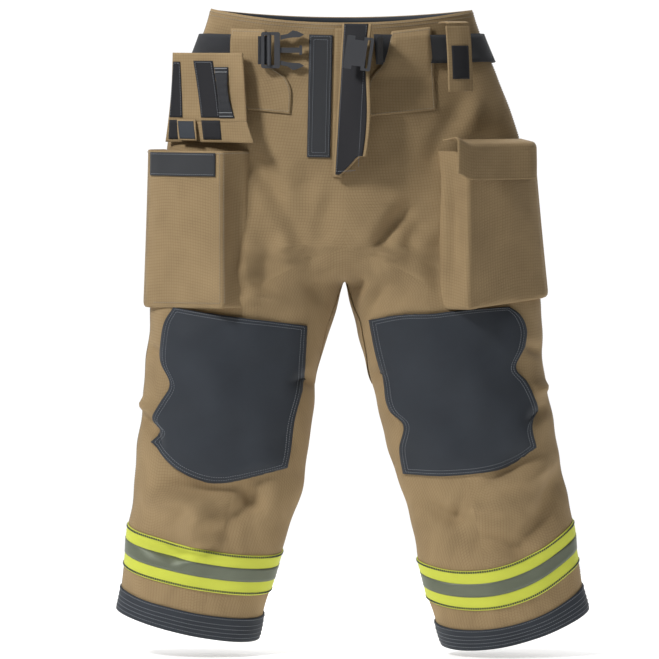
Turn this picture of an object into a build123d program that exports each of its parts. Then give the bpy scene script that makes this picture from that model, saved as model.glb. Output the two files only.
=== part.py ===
from build123d import *
import os
from math import atan2, cos, degrees, hypot, radians, sin, sqrt, tan

# Firefighter's turnout trousers, held at the waist, in millimetres.
# +Z is up, the front faces -Y, and the wearer's right side is -X.
# The origin is the middle of the waist opening, level with the front of the waistband.

os.makedirs("parts", exist_ok=True)

RIGHT, LEFT = -1, 1
FAR = 1500.0

# ---- driving dimensions of the cut: height, outer half-width, inner edge, half-depth
# Above the crotch the inner edge is 0, the centre seam.
HALF_CUT = {
    RIGHT: [
        (70, 226, 0, 90),
        (0, 244, 0, 95),
        (-90, 277, 0, 103),
        (-190, 308, 0, 110),
        (-290, 324, 0, 113),
        (-380, 333, 0, 110),
        (-490, 341, 13, 105),
        (-600, 350, 45, 98),
        (-720, 361, 60, 93),
        (-830, 372, 78, 87),
        (-940, 388, 116, 82),
        (-1050, 402, 146, 78),
        (-1160, 414, 176, 75),
    ],
    LEFT: [
        (70, 212, 0, 90),
        (0, 232, 0, 95),
        (-90, 268, 0, 103),
        (-190, 304, 0, 110),
        (-290, 322, 0, 113),
        (-380, 331, 0, 110),
        (-490, 344, 10, 105),
        (-600, 352, 42, 98),
        (-720, 372, 70, 93),
        (-830, 392, 105, 87),
        (-940, 410, 129, 82),
        (-1050, 430, 160, 78),
        (-1160, 448, 192, 75),
    ],
}
CENTRE_REACH = 25.0  # how far a half's sections run past the centre seam before they are cut

# ---- cloth thicknesses, as offsets from the outer face of the shell
SHELL_IN = -3.0
BARRIER = (-5.0, -3.5)
LINER = (-9.5, -5.5)
FACING = (-11.8, -10.0)
FACING_DROP = 55.0

# ---- waist
FRONT_DIP = 28.0  # the sides of the waist stand this much above its front
BACK_RISE = 16.0
WAIST_HALF = 230.0

# ---- hems: a point of the hem's plane (outward, height), its slope sideways and front to back
HEMS = {
    RIGHT: (277, -1050, 0.218, 0.2),
    LEFT: (304, -1060, 0.255, 0.2),
}
CUFF_HEIGHT = 37.0
BAND_HEIGHT = 71.0
STRIPE_HEIGHT = 24.0
BAND_RISE = {RIGHT: 75.0, LEFT: 75.0}

# ---- belt
BELT_TOP, BELT_WIDTH = -14.0, 50.0
BELT = (5.5, 8.0)

# ---- cargo pockets
POCKET_TOP, POCKET_BOTTOM = -218.0, -491.0
POCKET_WALL = 2.5
FACE_SLANT = 35.2  # degrees the pocket's face is turned outwards
HINGE_HEIGHT = -203.0
HINGE_OUT = 203.0  # from the origin to the flap's sewn edge, along the face's normal
ROOT_LENGTH = 42.0
FLAP_THICK = 3.0
LEAN = 7.0
CLOSED_DROP = 8.0

NODES = {}


def keep(name, shape):
    """Writes one sub-part to its STEP file."""
    solids = list(shape.solids())
    if not solids:
        raise ValueError(f"{name} has no solid")
    shape = solids[0] if len(solids) == 1 else Compound(children=solids)
    shape.label = name
    NODES[name] = shape
    export_step(shape, f"parts/{name}.step")


def arc_points(centre, half_width, half_depth, start, end, count):
    """Points along part of an ellipse, from outward (0) through the front (90), and how they run on at its ends."""
    points, runs = [], []
    sweep = radians(end - start)
    for i in range(count):
        angle = radians(start) + sweep * i / (count - 1)
        points.append((centre + half_width * cos(angle), -half_depth * sin(angle)))
        runs.append((-half_width * sin(angle) * sweep, -half_depth * cos(angle) * sweep))
    return points, runs


def edge_through(points, runs, side, height):
    """A spline through the points of one section, mirrored to its side."""
    at = [Vector(side * x, y, height) for x, y in points]
    ends = [Vector(side * runs[i][0], runs[i][1], 0) for i in (0, -1)]
    evenly = [i / (len(at) - 1) for i in range(len(at))]
    return Edge.make_spline(at, tangents=ends, parameters=evenly, scale=False)


def section(side, station, offset):
    """One closed horizontal section of a half: front, inner edge and back."""
    height, outer, inner, depth = station
    half_depth = depth + offset
    if inner == 0:
        inner_edge = -CENTRE_REACH - 0.5 * offset
        centre, half_width, reach = inner_edge, outer + offset - inner_edge, 90
    else:
        centre, half_width, reach = (outer + inner) / 2, (outer - inner) / 2 + offset, 135
    front = arc_points(centre, half_width, half_depth, 0, reach, 7)
    back = arc_points(centre, half_width, half_depth, -reach, 0, 7)
    if inner == 0:
        ends = [front[0][-1], back[0][0]]
        joining = Edge.make_line(*[Vector(side * x, y, height) for x, y in ends])
    else:
        joining = edge_through(*arc_points(centre, half_width, half_depth, reach, 360 - reach, 3), side, height)
    return Wire([edge_through(*front, side, height), joining, edge_through(*back, side, height)])


BODIES = {}


def half_body(side, offset):
    """The solid inside one half of the trousers, its surface moved out by offset."""
    key = (side, offset)
    if key not in BODIES:
        BODIES[key] = Solid.make_loft([section(side, s, offset) for s in HALF_CUT[side]])
    return BODIES[key]


def block(low, high):
    """A box between two corners."""
    size = [high[i] - low[i] for i in range(3)]
    middle = [(high[i] + low[i]) / 2 for i in range(3)]
    return Pos(*middle) * Box(*size)


def side_space(side):
    """All space on one side of the centre seam."""
    return block((0, -FAR, -FAR), (FAR, FAR, FAR)) if side > 0 else block((-FAR, -FAR, -FAR), (0, FAR, FAR))


def tilted_slab(side, low, high):
    """The space between two planes parallel to a hem, low and high above it."""
    out, height, slope, pitch = HEMS[side]
    normal = Vector(side * -slope, -pitch, 1).normalized()
    plane = Plane(origin=(side * out, 0, height), x_dir=Vector(1, 0, side * slope).normalized(), z_dir=normal)
    return plane * Pos(0, 0, (low + high) / 2) * Box(FAR, FAR, high - low)


def under_waist(front, lower=0.0):
    """The space below the waist edge, which dips at the middle, lowered by a distance."""
    dip = FRONT_DIP if front else FRONT_DIP - BACK_RISE
    rise = (0 if front else BACK_RISE) - lower
    radius = (WAIST_HALF**2 + dip**2) / (2 * dip)
    scoop = Pos(0, 0, rise + radius) * Rot(90, 0, 0) * Cylinder(radius, FAR)
    low, high = ((-600, -300, -FAR), (600, 0, 100)) if front else ((-600, 0, -FAR), (600, 300, 100))
    return block(low, high) - scoop


LAYERS = {}


def layer(side, inner, outer):
    """One cloth layer of a half, between two offsets: two walls joined by a rim at each end."""
    key = (side, inner, outer)
    if key not in LAYERS:
        inside, outside = [sorted(half_body(side, o).faces(), key=lambda f: f.center().Z) for o in (inner, outer)]
        rims = [Face(outside[i].outer_wire(), [inside[i].outer_wire()]) for i in (0, -1)]
        LAYERS[key] = Solid(Shell(outside[1:-1] + inside[1:-1] + rims)) & side_space(side)
    return LAYERS[key]


def front_prism(points, deep=0.0):
    """A prism in front of the body, from an outline in X and Z."""
    wire = Wire.make_polygon([Vector(x, deep, z) for x, z in points], close=True)
    return Solid.extrude(Face(wire), Vector(0, -400, 0))


# ---- shell, barrier and liner; each panel has a seam behind the knee patch
KNEE_SEAM = -600
for side, word in ((RIGHT, "right"), (LEFT, "left")):
    above_hem = tilted_slab(side, 0, FAR)
    shell = layer(side, SHELL_IN, 0) & above_hem
    thigh, shin = block((-FAR, -FAR, KNEE_SEAM), (FAR, FAR, FAR)), block((-FAR, -FAR, -2 * FAR), (FAR, FAR, KNEE_SEAM))
    for face, front in (("front", True), ("back", False)):
        panel = shell & under_waist(front)
        keep(f"{word}_{face}_panel", panel & thigh)
        keep(f"{word}_{face}_leg_panel", panel & shin)
    for node, offsets, drop, rise in (
        ("moisture_barrier", BARRIER, 30, 18),
        ("thermal_liner", LINER, 30, 18),
    ):
        lining = layer(side, *offsets) & tilted_slab(side, rise, FAR)
        lining = (lining & under_waist(True, drop)) + (lining & under_waist(False, drop))
        keep(f"{word}_{node}", lining)

# ---- facing inside the waistband
facing_parts = []
for side, word in ((RIGHT, "right"), (LEFT, "left")):
    facing = layer(side, *FACING) & block((-FAR, -FAR, -FACING_DROP), (FAR, FAR, FAR))
    keep(f"{word}_waist_facing", facing & under_waist(True, 4))
    facing_parts.append(facing & under_waist(False, 4))
keep("back_waist_facing", facing_parts[0] + facing_parts[1])

# ---- suspender buttons: a head on a short shank, inside the facing
BUTTON_HEAD, BUTTON_SHANK, BUTTON_HEIGHT = (8.5, 2.5), (3.0, 3.0), -22.0
buttons = []
for side in (RIGHT, LEFT):
    for angle in (38, 66, -42, -70):
        outer = 240 if side == RIGHT else 228
        x_centre = -CENTRE_REACH
        width, depth = outer - x_centre - 12.6, 97.0 - 12.6
        x = x_centre + width * cos(radians(angle))
        y = -depth * sin(radians(angle))
        normal = Vector(side * (x - x_centre) / width**2, y / depth**2, 0).normalized()
        plane = Plane(origin=(side * x, y, BUTTON_HEIGHT), x_dir=(0, 0, 1), z_dir=-normal)
        shank = plane * Pos(0, 0, BUTTON_SHANK[1] / 2) * Cylinder(BUTTON_SHANK[0], BUTTON_SHANK[1])
        head = plane * Pos(0, 0, BUTTON_SHANK[1] + BUTTON_HEAD[1] / 2) * Cylinder(*BUTTON_HEAD)
        buttons.append(shank + head)
keep("suspender_buttons", Compound(children=[b.solids()[0] for b in buttons]))

# ---- knee patches over foam pads
KNEES = {
    RIGHT: [(-298, -492), (-68, -522), (-76, -635), (-96, -768), (-150, -786), (-240, -793), (-336, -732), (-305, -628)],
    LEFT: [(46, -515), (122, -502), (200, -493.5), (284, -493.5), (315, -540), (300, -602), (336, -700), (332, -742), (268, -772), (104, -786), (96, -706)],
}
PAD_INSET = 0.88
for side, word in ((RIGHT, "right"), (LEFT, "left")):
    outline = KNEES[side]
    patch = layer(side, 4.2, 6.0) & front_prism(outline)
    keep(f"{word}_knee_patch", patch)
    middle = [sum(p[i] for p in outline) / len(outline) for i in (0, 1)]
    inset = [tuple(middle[i] + (p[i] - middle[i]) * PAD_INSET for i in (0, 1)) for p in outline]
    keep(f"{word}_knee_pad", layer(side, 0.6, 3.8) & front_prism(inset))

# ---- reflective trim and cuff bindings round each leg
for side, word in ((RIGHT, "right"), (LEFT, "left")):
    keep(f"{word}_cuff_binding", layer(side, 0.5, 3.0) & tilted_slab(side, 0, CUFF_HEIGHT))
    low = BAND_RISE[side]
    keep(f"{word}_trim_tape", layer(side, 0.5, 2.0) & tilted_slab(side, low, low + BAND_HEIGHT))
    middle = low + BAND_HEIGHT / 2
    stripe = tilted_slab(side, middle - STRIPE_HEIGHT / 2, middle + STRIPE_HEIGHT / 2)
    keep(f"{word}_trim_stripe", layer(side, 2.3, 2.9) & stripe)

# ---- crotch gusset: a diamond of black cloth on the inside of both thighs
gusset = []
for side in (RIGHT, LEFT):
    ring = layer(side, 0.4, 2.4)
    outline = [(0, 10, -405), (0, 62, -520), (0, 10, -640), (0, -30, -520)]
    wire = Wire.make_polygon([Vector(side * 6, y, z) for _, y, z in outline], close=True)
    gusset.append(ring & Solid.extrude(Face(wire), Vector(side * 90, 0, 0)))
    keep(f"{'right' if side < 0 else 'left'}_crotch_gusset", gusset[-1])

# ---- fly: loop strip, shield and the head of the storm flap
keep("fly_loop_strip", layer(RIGHT, 0.5, 2.2) & front_prism([(-68, -14), (-22, -14), (-26, -228), (-70, -228)]))
keep("fly_shield", layer(RIGHT, 0.5, 3.0) & front_prism([(-16, -6), (-0.5, -6), (-0.5, -262), (-20, -262)]))

HINGE_TOP, HINGE_LOW = Vector(-4, -104, 4), Vector(-20, -120, -262)
STORM_WIDTH, STORM_SPLIT, STORM_RAISED = 64.0, 0.372, 38.0
axis = (HINGE_LOW - HINGE_TOP).normalized()
across = Vector(cos(radians(STORM_RAISED)), -sin(radians(STORM_RAISED)), 0)
across = (across - axis * across.dot(axis)).normalized()
facing_out = across.cross(axis).normalized()
if facing_out.Y > 0:
    facing_out = facing_out * -1


def storm_piece(start, end, near, far, low, high, point=0.0):
    """A strip of the storm flap: start and end along its hinge, near and far across it, low and high out of it."""
    length = (HINGE_LOW - HINGE_TOP).length
    corners = [(start, near), (start, far), (end - point, far), (end, near)]
    base = [HINGE_TOP + axis * (s * length) + across * w + facing_out * low for s, w in corners]
    return Solid.extrude(Face(Wire.make_polygon(base, close=True)), facing_out * (high - low))


keep("storm_flap_head", storm_piece(0.0, STORM_SPLIT - 0.008, 0.8, STORM_WIDTH, 0, 2.4))
keep("storm_flap_cloth", storm_piece(STORM_SPLIT, 1.0, 0.8, STORM_WIDTH, 0, 2.4, 0.05))
keep("storm_flap_hook_strip", storm_piece(STORM_SPLIT, 0.98, 6, STORM_WIDTH - 7, 2.5, 4.0, 0.05))

# ---- belt round the waist, its tunnels and loops
belt_zone = block((-FAR, -FAR, BELT_TOP - BELT_WIDTH), (FAR, FAR, BELT_TOP))
belt_right = layer(RIGHT, *BELT) & belt_zone & (block((-FAR, -FAR, -FAR), (-152, 0, FAR)) + block((-FAR, 0, -FAR), (0, FAR, FAR)))
belt_left = layer(LEFT, *BELT) & belt_zone & (block((70, -FAR, -FAR), (FAR, 0, FAR)) + block((0, 0, -FAR), (FAR, FAR, FAR)))
keep("belt_webbing", belt_right + belt_left)

channel = block((-FAR, -FAR, BELT_TOP - BELT_WIDTH - 3), (FAR, FAR, BELT_TOP + 3))
TUNNELS = {
    RIGHT: [(-197, -4), (-142, -4), (-122, -78), (-104, -90), (-95, -104), (-95, -152), (-190, -140)],
    LEFT: [(81, -6), (148, -2), (159, -144), (42, -156), (43, -96), (62, -72)],
}
for side, word in ((RIGHT, "right"), (LEFT, "left")):
    tunnel = (layer(side, 0.5, 11.0) & front_prism(TUNNELS[side])) - (layer(side, -8.0, 9.0) & channel)
    keep(f"{word}_belt_tunnel", tunnel)

loops = []
LOOP_WIDTH, LOOP_TOP, LOOP_LOW = 38.0, 0.0, -78.0
for centre in (-170, -57, 57, 170):
    side = RIGHT if centre < 0 else LEFT
    zone = block((centre - LOOP_WIDTH / 2, 0, LOOP_LOW), (centre + LOOP_WIDTH / 2, FAR, LOOP_TOP))
    loops.append(((layer(side, 0.5, 11.0) & zone) - (layer(side, -8.0, 9.0) & channel)).solids()[0])
keep("back_belt_loops", Compound(children=loops))


# ---- cargo pockets
class PocketFrame:
    """Directions of one pocket's face: out of it, along it away from the front, and up."""

    def __init__(self, side):
        self.side = side
        slant = radians(FACE_SLANT)
        self.out = Vector(side * sin(slant), -cos(slant), 0)
        self.along = Vector(side * cos(slant), sin(slant), 0)

    def at(self, along, out, height):
        return self.along * along + self.out * out + Vector(0, 0, height)

    def plate(self, outline, out, thick):
        """A plate parallel to the face, from an outline in (along, height)."""
        wire = Wire.make_polygon([self.at(a, out, h) for a, h in outline], close=True)
        return Solid.extrude(Face(wire), self.out * thick)

    def hinge_line(self, along, out, height):
        return self.at(along, out, height)


POCKET_PLAN = [(164, -70), (170, -96), (213, -133), (338, -45), (352, -20), (350, 48), (300, 60)]
POCKET_INSIDE = [(167, -60), (173, -94.5), (213.6, -129.4), (336, -42.5), (349.2, -19), (347.3, 45), (300, 52)]
POCKET_BULGE = 1.035


def plan_wire(side, plan, height, scale=1.0):
    """A pocket's outline seen from above, scaled about the leg."""
    return Wire.make_polygon([Vector(side * (230 + (x - 230) * scale), y * scale, height) for x, y in plan], close=True)


def pocket_solid(side, plan, top, bottom):
    """The space inside a pocket outline, slightly fuller at its bottom."""
    upper = 1.0 if side == RIGHT else 0.985
    return Solid.make_loft([plan_wire(side, plan, bottom, POCKET_BULGE), plan_wire(side, plan, top, upper)], ruled=True)


for side, word in ((RIGHT, "right"), (LEFT, "left")):
    full = pocket_solid(side, POCKET_PLAN, POCKET_TOP, POCKET_BOTTOM)
    hollow = pocket_solid(side, POCKET_INSIDE, POCKET_TOP + 1, POCKET_BOTTOM + POCKET_WALL)
    bag = (full - hollow) - half_body(side, 0.6)
    bag = max(bag.solids(), key=lambda s: s.volume)
    keep(f"{word}_cargo_pocket", bag)

frame_right, frame_left = PocketFrame(RIGHT), PocketFrame(LEFT)
for frame, word in ((frame_right, "right"), (frame_left, "left")):
    strip = frame.plate([(112, -224), (262, -224), (262, -264), (112, -264)], 231.5, 1.6)
    keep(f"{word}_pocket_loop_strip", strip - pocket_solid(frame.side, POCKET_PLAN, POCKET_TOP, POCKET_BOTTOM))

# ---- right flap, standing open against the hip
FLAP_LENGTH = 157.0
lean_out = -sin(radians(LEAN))
lean_up = cos(radians(LEAN))


def open_point(along, rise, proud):
    """A point of the open flap: along its hinge, up its length, and out of its surface."""
    base = frame_right.at(along, HINGE_OUT + rise * lean_out + proud * lean_up, HINGE_HEIGHT + rise * lean_up - proud * lean_out)
    return base


def open_plate(outline, proud, thick):
    """A plate of the open flap from an outline in (along, rise)."""
    wire = Wire.make_polygon([open_point(a, r, proud) for a, r in outline], close=True)
    direction = open_point(0, 0, 1) - open_point(0, 0, 0)
    return Solid.extrude(Face(wire), direction * thick)


keep("right_flap_root", open_plate([(60, 1), (247, 1), (246, ROOT_LENGTH - 2), (68, ROOT_LENGTH - 2)], 0, FLAP_THICK))
keep("right_flap_face", open_plate([(69, ROOT_LENGTH), (246, ROOT_LENGTH), (243, FLAP_LENGTH), (90, FLAP_LENGTH)], 0, FLAP_THICK))
keep("right_flap_outer_strip", open_plate([(214, ROOT_LENGTH + 1), (243, ROOT_LENGTH + 1), (240, 141), (216, 141)], 3.1, 1.6))
keep("right_flap_middle_strip", open_plate([(134, ROOT_LENGTH + 1), (176, ROOT_LENGTH + 1), (196, 143), (152, 143)], 3.1, 1.6))
keep("right_flap_elastic_strap", open_plate([(104, ROOT_LENGTH + 1), (126, ROOT_LENGTH + 1), (146, 132), (118, 132)], 3.1, 3.4))
keep("right_flap_root_strips", Compound(children=[
    open_plate([(208, 8), (240, 8), (242, ROOT_LENGTH - 3), (212, ROOT_LENGTH - 3)], 3.1, 1.6),
    open_plate([(122, 8), (164, 8), (173, ROOT_LENGTH - 3), (131, ROOT_LENGTH - 3)], 3.1, 1.6),
]))

# The pull tab hangs from a line of stitches across the root, pressed flat when the flap closes.
TAB_TOP, TAB_LIFT = 39.0, 12.0
tab_top = open_point(196, TAB_TOP, 5.2)
tab_fall = Vector(0, 0, -1)
tab_out = frame_right.out
tab_fall = (tab_fall * cos(radians(TAB_LIFT + LEAN)) + tab_out * sin(radians(TAB_LIFT + LEAN))).normalized()
tab_normal = tab_fall.cross(frame_right.along).normalized()
if tab_normal.dot(frame_right.out) < 0:
    tab_normal = tab_normal * -1
tab_corners = [tab_top + frame_right.along * a + tab_fall * f for a, f in ((-19, 0.5), (19, 0.5), (13, 38), (-24, 38))]
keep("flap_pull_tab", Solid.extrude(Face(Wire.make_polygon(tab_corners, close=True)), tab_normal * 3.0))

# ---- left flap, closed over its pocket
CLOSED_LENGTH = 62.0
closed_tip = (HINGE_OUT + ROOT_LENGTH * cos(radians(CLOSED_DROP)), HINGE_HEIGHT - ROOT_LENGTH * sin(radians(CLOSED_DROP)))


def closed_root(start, end, low, high):
    """A piece of the closed flap's root, from start to end along its length."""
    c, s = cos(radians(CLOSED_DROP)), sin(radians(CLOSED_DROP))
    profile = [(start, low), (end, low), (end, high), (start, high)]
    points = [frame_left.at(62, HINGE_OUT + r * c + p * s, HINGE_HEIGHT - r * s + p * c) for r, p in profile]
    return Solid.extrude(Face(Wire.make_polygon(points, close=True)), frame_left.along * 178)


keep("left_flap_root", closed_root(1, ROOT_LENGTH - 2, 0, FLAP_THICK))
flap_outline = [(64, closed_tip[1] - 0.5), (240, closed_tip[1] - 0.5), (240, closed_tip[1] - CLOSED_LENGTH), (70, closed_tip[1] - CLOSED_LENGTH)]
keep("left_flap_face", frame_left.plate(flap_outline, closed_tip[0], FLAP_THICK))
hook_outline = [(112, closed_tip[1] - 14), (232, closed_tip[1] - 14), (232, closed_tip[1] - 52), (112, closed_tip[1] - 52)]
keep("left_flap_hook_strip", frame_left.plate(hook_outline, closed_tip[0] - 1.8, 1.6))


# ---- keeper tab over the belt on the left hip
KEEPER_TURN, KEEPER_OUT, KEEPER_HALF = 26.0, 183.0, 24.0
keeper_out = Vector(sin(radians(KEEPER_TURN)), -cos(radians(KEEPER_TURN)), 0)
keeper_along = Vector(cos(radians(KEEPER_TURN)), sin(radians(KEEPER_TURN)), 0)


def keeper_plate(low_along, high_along, top, bottom, out, thick):
    """A plate of the keeper tab, parallel to the hip."""
    corners = [(low_along, top), (high_along, top), (high_along, bottom), (low_along, bottom)]
    base = [keeper_along * a + keeper_out * out + Vector(0, 0, z) for a, z in corners]
    return Solid.extrude(Face(Wire.make_polygon(base, close=True)), keeper_out * thick)


KEEPER_MID = 140.0
keep("keeper_tab_cloth", keeper_plate(KEEPER_MID - KEEPER_HALF, KEEPER_MID + KEEPER_HALF, 0, -114, KEEPER_OUT, 2.6))
keep("keeper_tab_hook_patch", keeper_plate(KEEPER_MID - 15, KEEPER_MID + 17, -34, -90, KEEPER_OUT + 2.7, 1.4))
base = keeper_plate(KEEPER_MID - KEEPER_HALF, KEEPER_MID + KEEPER_HALF, 8, 1.5, 120, KEEPER_OUT + 2.6 - 120)
keep("keeper_tab_base", max((base - half_body(LEFT, 0.4)).solids(), key=lambda s: -s.center().Y))

# ---- side-release buckle
PLUG_X, PLUG_Y, PLUG_Z = -146.0, -104.0, -42.0
BUCKLE_THICK = 9.0
BAR_LENGTH, BAR_HEIGHT = 33.0, 63.0


def at_plug(x, y, z):
    return Pos(PLUG_X + x, PLUG_Y + y, PLUG_Z + z)


frame_body = at_plug(BAR_LENGTH / 2, 0, 0) * Box(BAR_LENGTH, BUCKLE_THICK, BAR_HEIGHT)
frame_body = fillet(frame_body.edges().filter_by(Axis.Y), 4)
for slot_x in (8.5, 20.0):
    frame_body -= at_plug(slot_x, 0, 0) * Box(5.5, BUCKLE_THICK + 2, BAR_HEIGHT - 11)
plug = frame_body + (at_plug(14.3, -BUCKLE_THICK / 2, 0) * Cylinder(3.6, BAR_HEIGHT - 9))
guide = at_plug(BAR_LENGTH + 17, 0, 0) * Box(36, 4.0, 9.0)
guide_end = at_plug(BAR_LENGTH + 36, 0, 0) * Box(5, 5.5, 17)
guide_end = fillet(guide_end.edges().filter_by(Axis.Y), 2)
plug = plug + guide + guide_end
keep("buckle_plug", plug)

for word, up in (("upper", 1), ("lower", -1)):
    outline = [(0.6, 18), (0.6, 26), (13, 28), (22, 34.5), (30, 33), (42, 27), (34, 22.5), (22, 22), (13, 21)]
    wire = Wire.make_polygon([Vector(PLUG_X + BAR_LENGTH + x, PLUG_Y - 3, PLUG_Z + up * z) for x, z in outline], close=True)
    prong = Solid.extrude(Face(wire), Vector(0, 6, 0))
    keep(f"{word}_prong", prong)

plug_web = block((PLUG_X - 5.5, PLUG_Y - 1.2, PLUG_Z - 25), (PLUG_X - 0.4, PLUG_Y + 1.2, PLUG_Z + 25))
keep("plug_webbing_end", plug_web)

SOCKET_X, SOCKET_Y, SOCKET_Z = 0.0, -162.0, -47.0
SOCKET_LENGTH, SOCKET_HEIGHT, SOCKET_THICK, SOCKET_WALL, SOCKET_TILT = 47.0, 58.0, 13.0, 1.8, -8.0


def at_socket(x, y, z):
    return Pos(SOCKET_X + 24, SOCKET_Y, SOCKET_Z) * Rot(0, SOCKET_TILT * -1, 0) * Pos(x - 24, y, z)


socket = at_socket(SOCKET_LENGTH / 2, 0, 0) * Box(SOCKET_LENGTH, SOCKET_THICK, SOCKET_HEIGHT)
socket = fillet(socket.edges().filter_by(Axis.Y), 3)
socket -= at_socket(16, 0, 0) * Box(34, SOCKET_THICK - 2 * SOCKET_WALL, SOCKET_HEIGHT - 2 * SOCKET_WALL)
for up in (-1, 1):
    socket -= at_socket(22, 0, up * SOCKET_HEIGHT / 2) * Box(16, SOCKET_THICK + 2, 13)
socket -= at_socket(39, 0, 0) * Box(5, SOCKET_THICK + 2, SOCKET_HEIGHT - 9)
keep("buckle_socket", max(socket.solids(), key=lambda s: s.volume))
web_plan = [Vector(x, y, -67) for x, y in ((64, -108), (66.4, -108), (56.4, -160), (54, -160))]
socket_web = Solid.extrude(Face(Wire.make_polygon(web_plan, close=True)), Vector(0, 0, 50))
keep("socket_webbing_end", socket_web)

if __name__ == "__main__":
    box = Compound(children=[s for s in NODES.values()]).bounding_box()
    print(len(NODES), "nodes", box.size, box.min, box.max)
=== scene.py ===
import bmesh
import bpy
import numpy as np
from math import cos, pi, radians, sin, sqrt
from mathutils import Matrix, Vector
from mathutils.bvhtree import BVHTree


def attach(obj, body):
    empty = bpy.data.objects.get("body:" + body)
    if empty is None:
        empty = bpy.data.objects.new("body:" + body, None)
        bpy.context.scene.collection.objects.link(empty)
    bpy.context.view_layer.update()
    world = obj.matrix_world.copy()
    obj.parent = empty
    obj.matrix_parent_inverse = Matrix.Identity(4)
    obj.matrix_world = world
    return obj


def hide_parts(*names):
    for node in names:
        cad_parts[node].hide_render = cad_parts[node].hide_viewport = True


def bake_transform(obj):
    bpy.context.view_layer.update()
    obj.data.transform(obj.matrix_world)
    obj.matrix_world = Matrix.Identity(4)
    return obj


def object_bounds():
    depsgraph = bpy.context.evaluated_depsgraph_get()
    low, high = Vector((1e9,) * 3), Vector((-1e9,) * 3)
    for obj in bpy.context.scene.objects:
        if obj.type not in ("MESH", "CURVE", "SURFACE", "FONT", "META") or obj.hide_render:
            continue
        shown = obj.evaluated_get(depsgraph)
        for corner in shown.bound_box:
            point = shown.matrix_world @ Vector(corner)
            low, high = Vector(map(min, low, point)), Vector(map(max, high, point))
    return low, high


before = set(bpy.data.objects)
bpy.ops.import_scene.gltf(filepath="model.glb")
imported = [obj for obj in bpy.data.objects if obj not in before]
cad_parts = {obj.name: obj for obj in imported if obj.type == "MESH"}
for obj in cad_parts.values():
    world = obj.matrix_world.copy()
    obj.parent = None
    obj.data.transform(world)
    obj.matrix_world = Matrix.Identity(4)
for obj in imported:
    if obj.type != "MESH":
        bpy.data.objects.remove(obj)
cad_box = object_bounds()

# ---------------------------------------------------------------- studio
# The trousers hang in front of a white sweep, over a pale round floor. A large soft lamp stands high
# on the left, a weaker one fills from the right, and one lights the waist from above.
scene = bpy.context.scene
scene.view_settings.view_transform = "Standard"
scene.view_settings.look = "None"
world = bpy.data.worlds.new("white_sweep")
scene.world = world
world.use_nodes = True
sweep = world.node_tree.nodes["Background"]
sweep.inputs["Color"].default_value = (1.0, 1.0, 1.0, 1)
heading = world.node_tree.nodes.new("ShaderNodeTexCoord")
heading_parts = world.node_tree.nodes.new("ShaderNodeSeparateXYZ")
toward = world.node_tree.nodes.new("ShaderNodeMapRange")
toward.inputs["From Min"].default_value, toward.inputs["From Max"].default_value = 0.15, 0.7
toward.inputs["To Min"].default_value, toward.inputs["To Max"].default_value = 0.15, 1.04
world.node_tree.links.new(heading.outputs["Generated"], heading_parts.inputs[0])
world.node_tree.links.new(heading_parts.outputs["Y"], toward.inputs["Value"])
world.node_tree.links.new(toward.outputs["Result"], sweep.inputs["Strength"])
low_box, high_box = cad_box
aim = Vector((-0.027, 0.0, -0.534))
for lamp_name, place, power, size in (
    ("key_lamp", (-2.3, -1.9, 2.0), 108, 0.7),
    ("fill_lamp", (3.2, -3.2, 0.3), 9, 2.0),
    ("top_lamp", (-0.4, 0.3, 2.4), 26, 1.2),
    ("back_lamp", (1.2, 3.4, 1.4), 40, 2.0),
):
    lamp = bpy.data.lights.new(lamp_name, "AREA")
    lamp.energy, lamp.size = power, size
    lamp_object = bpy.data.objects.new(lamp_name, lamp)
    lamp_object.location = place
    lamp_object.rotation_euler = (aim - Vector(place)).to_track_quat("-Z", "Y").to_euler()
    scene.collection.objects.link(lamp_object)

camera = bpy.data.cameras.new("camera")
camera.lens, camera.sensor_width = 310.0, 36.0
camera.clip_end = 100
camera_object = bpy.data.objects.new("camera", camera)
height_angle = radians(3.0)
camera_object.location = aim + Vector((0, -10.0 * cos(height_angle), 10.0 * sin(height_angle)))
camera_object.rotation_euler = (aim - camera_object.location).to_track_quat("-Z", "Y").to_euler()
scene.collection.objects.link(camera_object)
scene.camera = camera_object



def new_material(name):
    """A material, with its node tree and its main shader."""
    made = bpy.data.materials.new(name)
    made.use_nodes = True
    return made, made.node_tree, made.node_tree.nodes["Principled BSDF"]


def give(node, **values):
    """Sets a node's own values, each by its socket's name with _ for a space."""
    for name, value in values.items():
        node.inputs[name.replace("_", " ")].default_value = value


floor_bm = bmesh.new()
bmesh.ops.create_circle(floor_bm, cap_ends=True, radius=1.6, segments=96)
floor_mesh = bpy.data.meshes.new("floor")
bmesh.ops.translate(floor_bm, verts=floor_bm.verts, vec=(0, 0, low_box[2] - 0.012))
floor_bm.to_mesh(floor_mesh)
floor_bm.free()
floor = bpy.data.objects.new("floor", floor_mesh)
scene.collection.objects.link(floor)
floor_paint, _, floor_skin = new_material("floor_paint")
give(floor_skin, Base_Color=(0.95, 0.95, 0.95, 1), Roughness=0.9)
give(floor_skin, Emission_Color=(1, 1, 1, 1), Emission_Strength=0.45)
floor.data.materials.append(floor_paint)

# ---------------------------------------------------------------- cloth finishes
# Every cloth here is woven, so one group draws a weave from the piece's own UV map, which is in metres:
# the raised square grid of the shell, the fine over-and-under of its threads, and slow changes of shade.


def link(tree, a, b):
    tree.links.new(a, b)


def sum_node(tree, operation, *values):
    """One Math node with numbers or sockets on its inputs."""
    node = tree.nodes.new("ShaderNodeMath")
    node.operation = operation
    for i, value in enumerate(values):
        if hasattr(value, "is_output"):
            link(tree, value, node.inputs[i])
        else:
            node.inputs[i].default_value = value
    return node.outputs[0]


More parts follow.
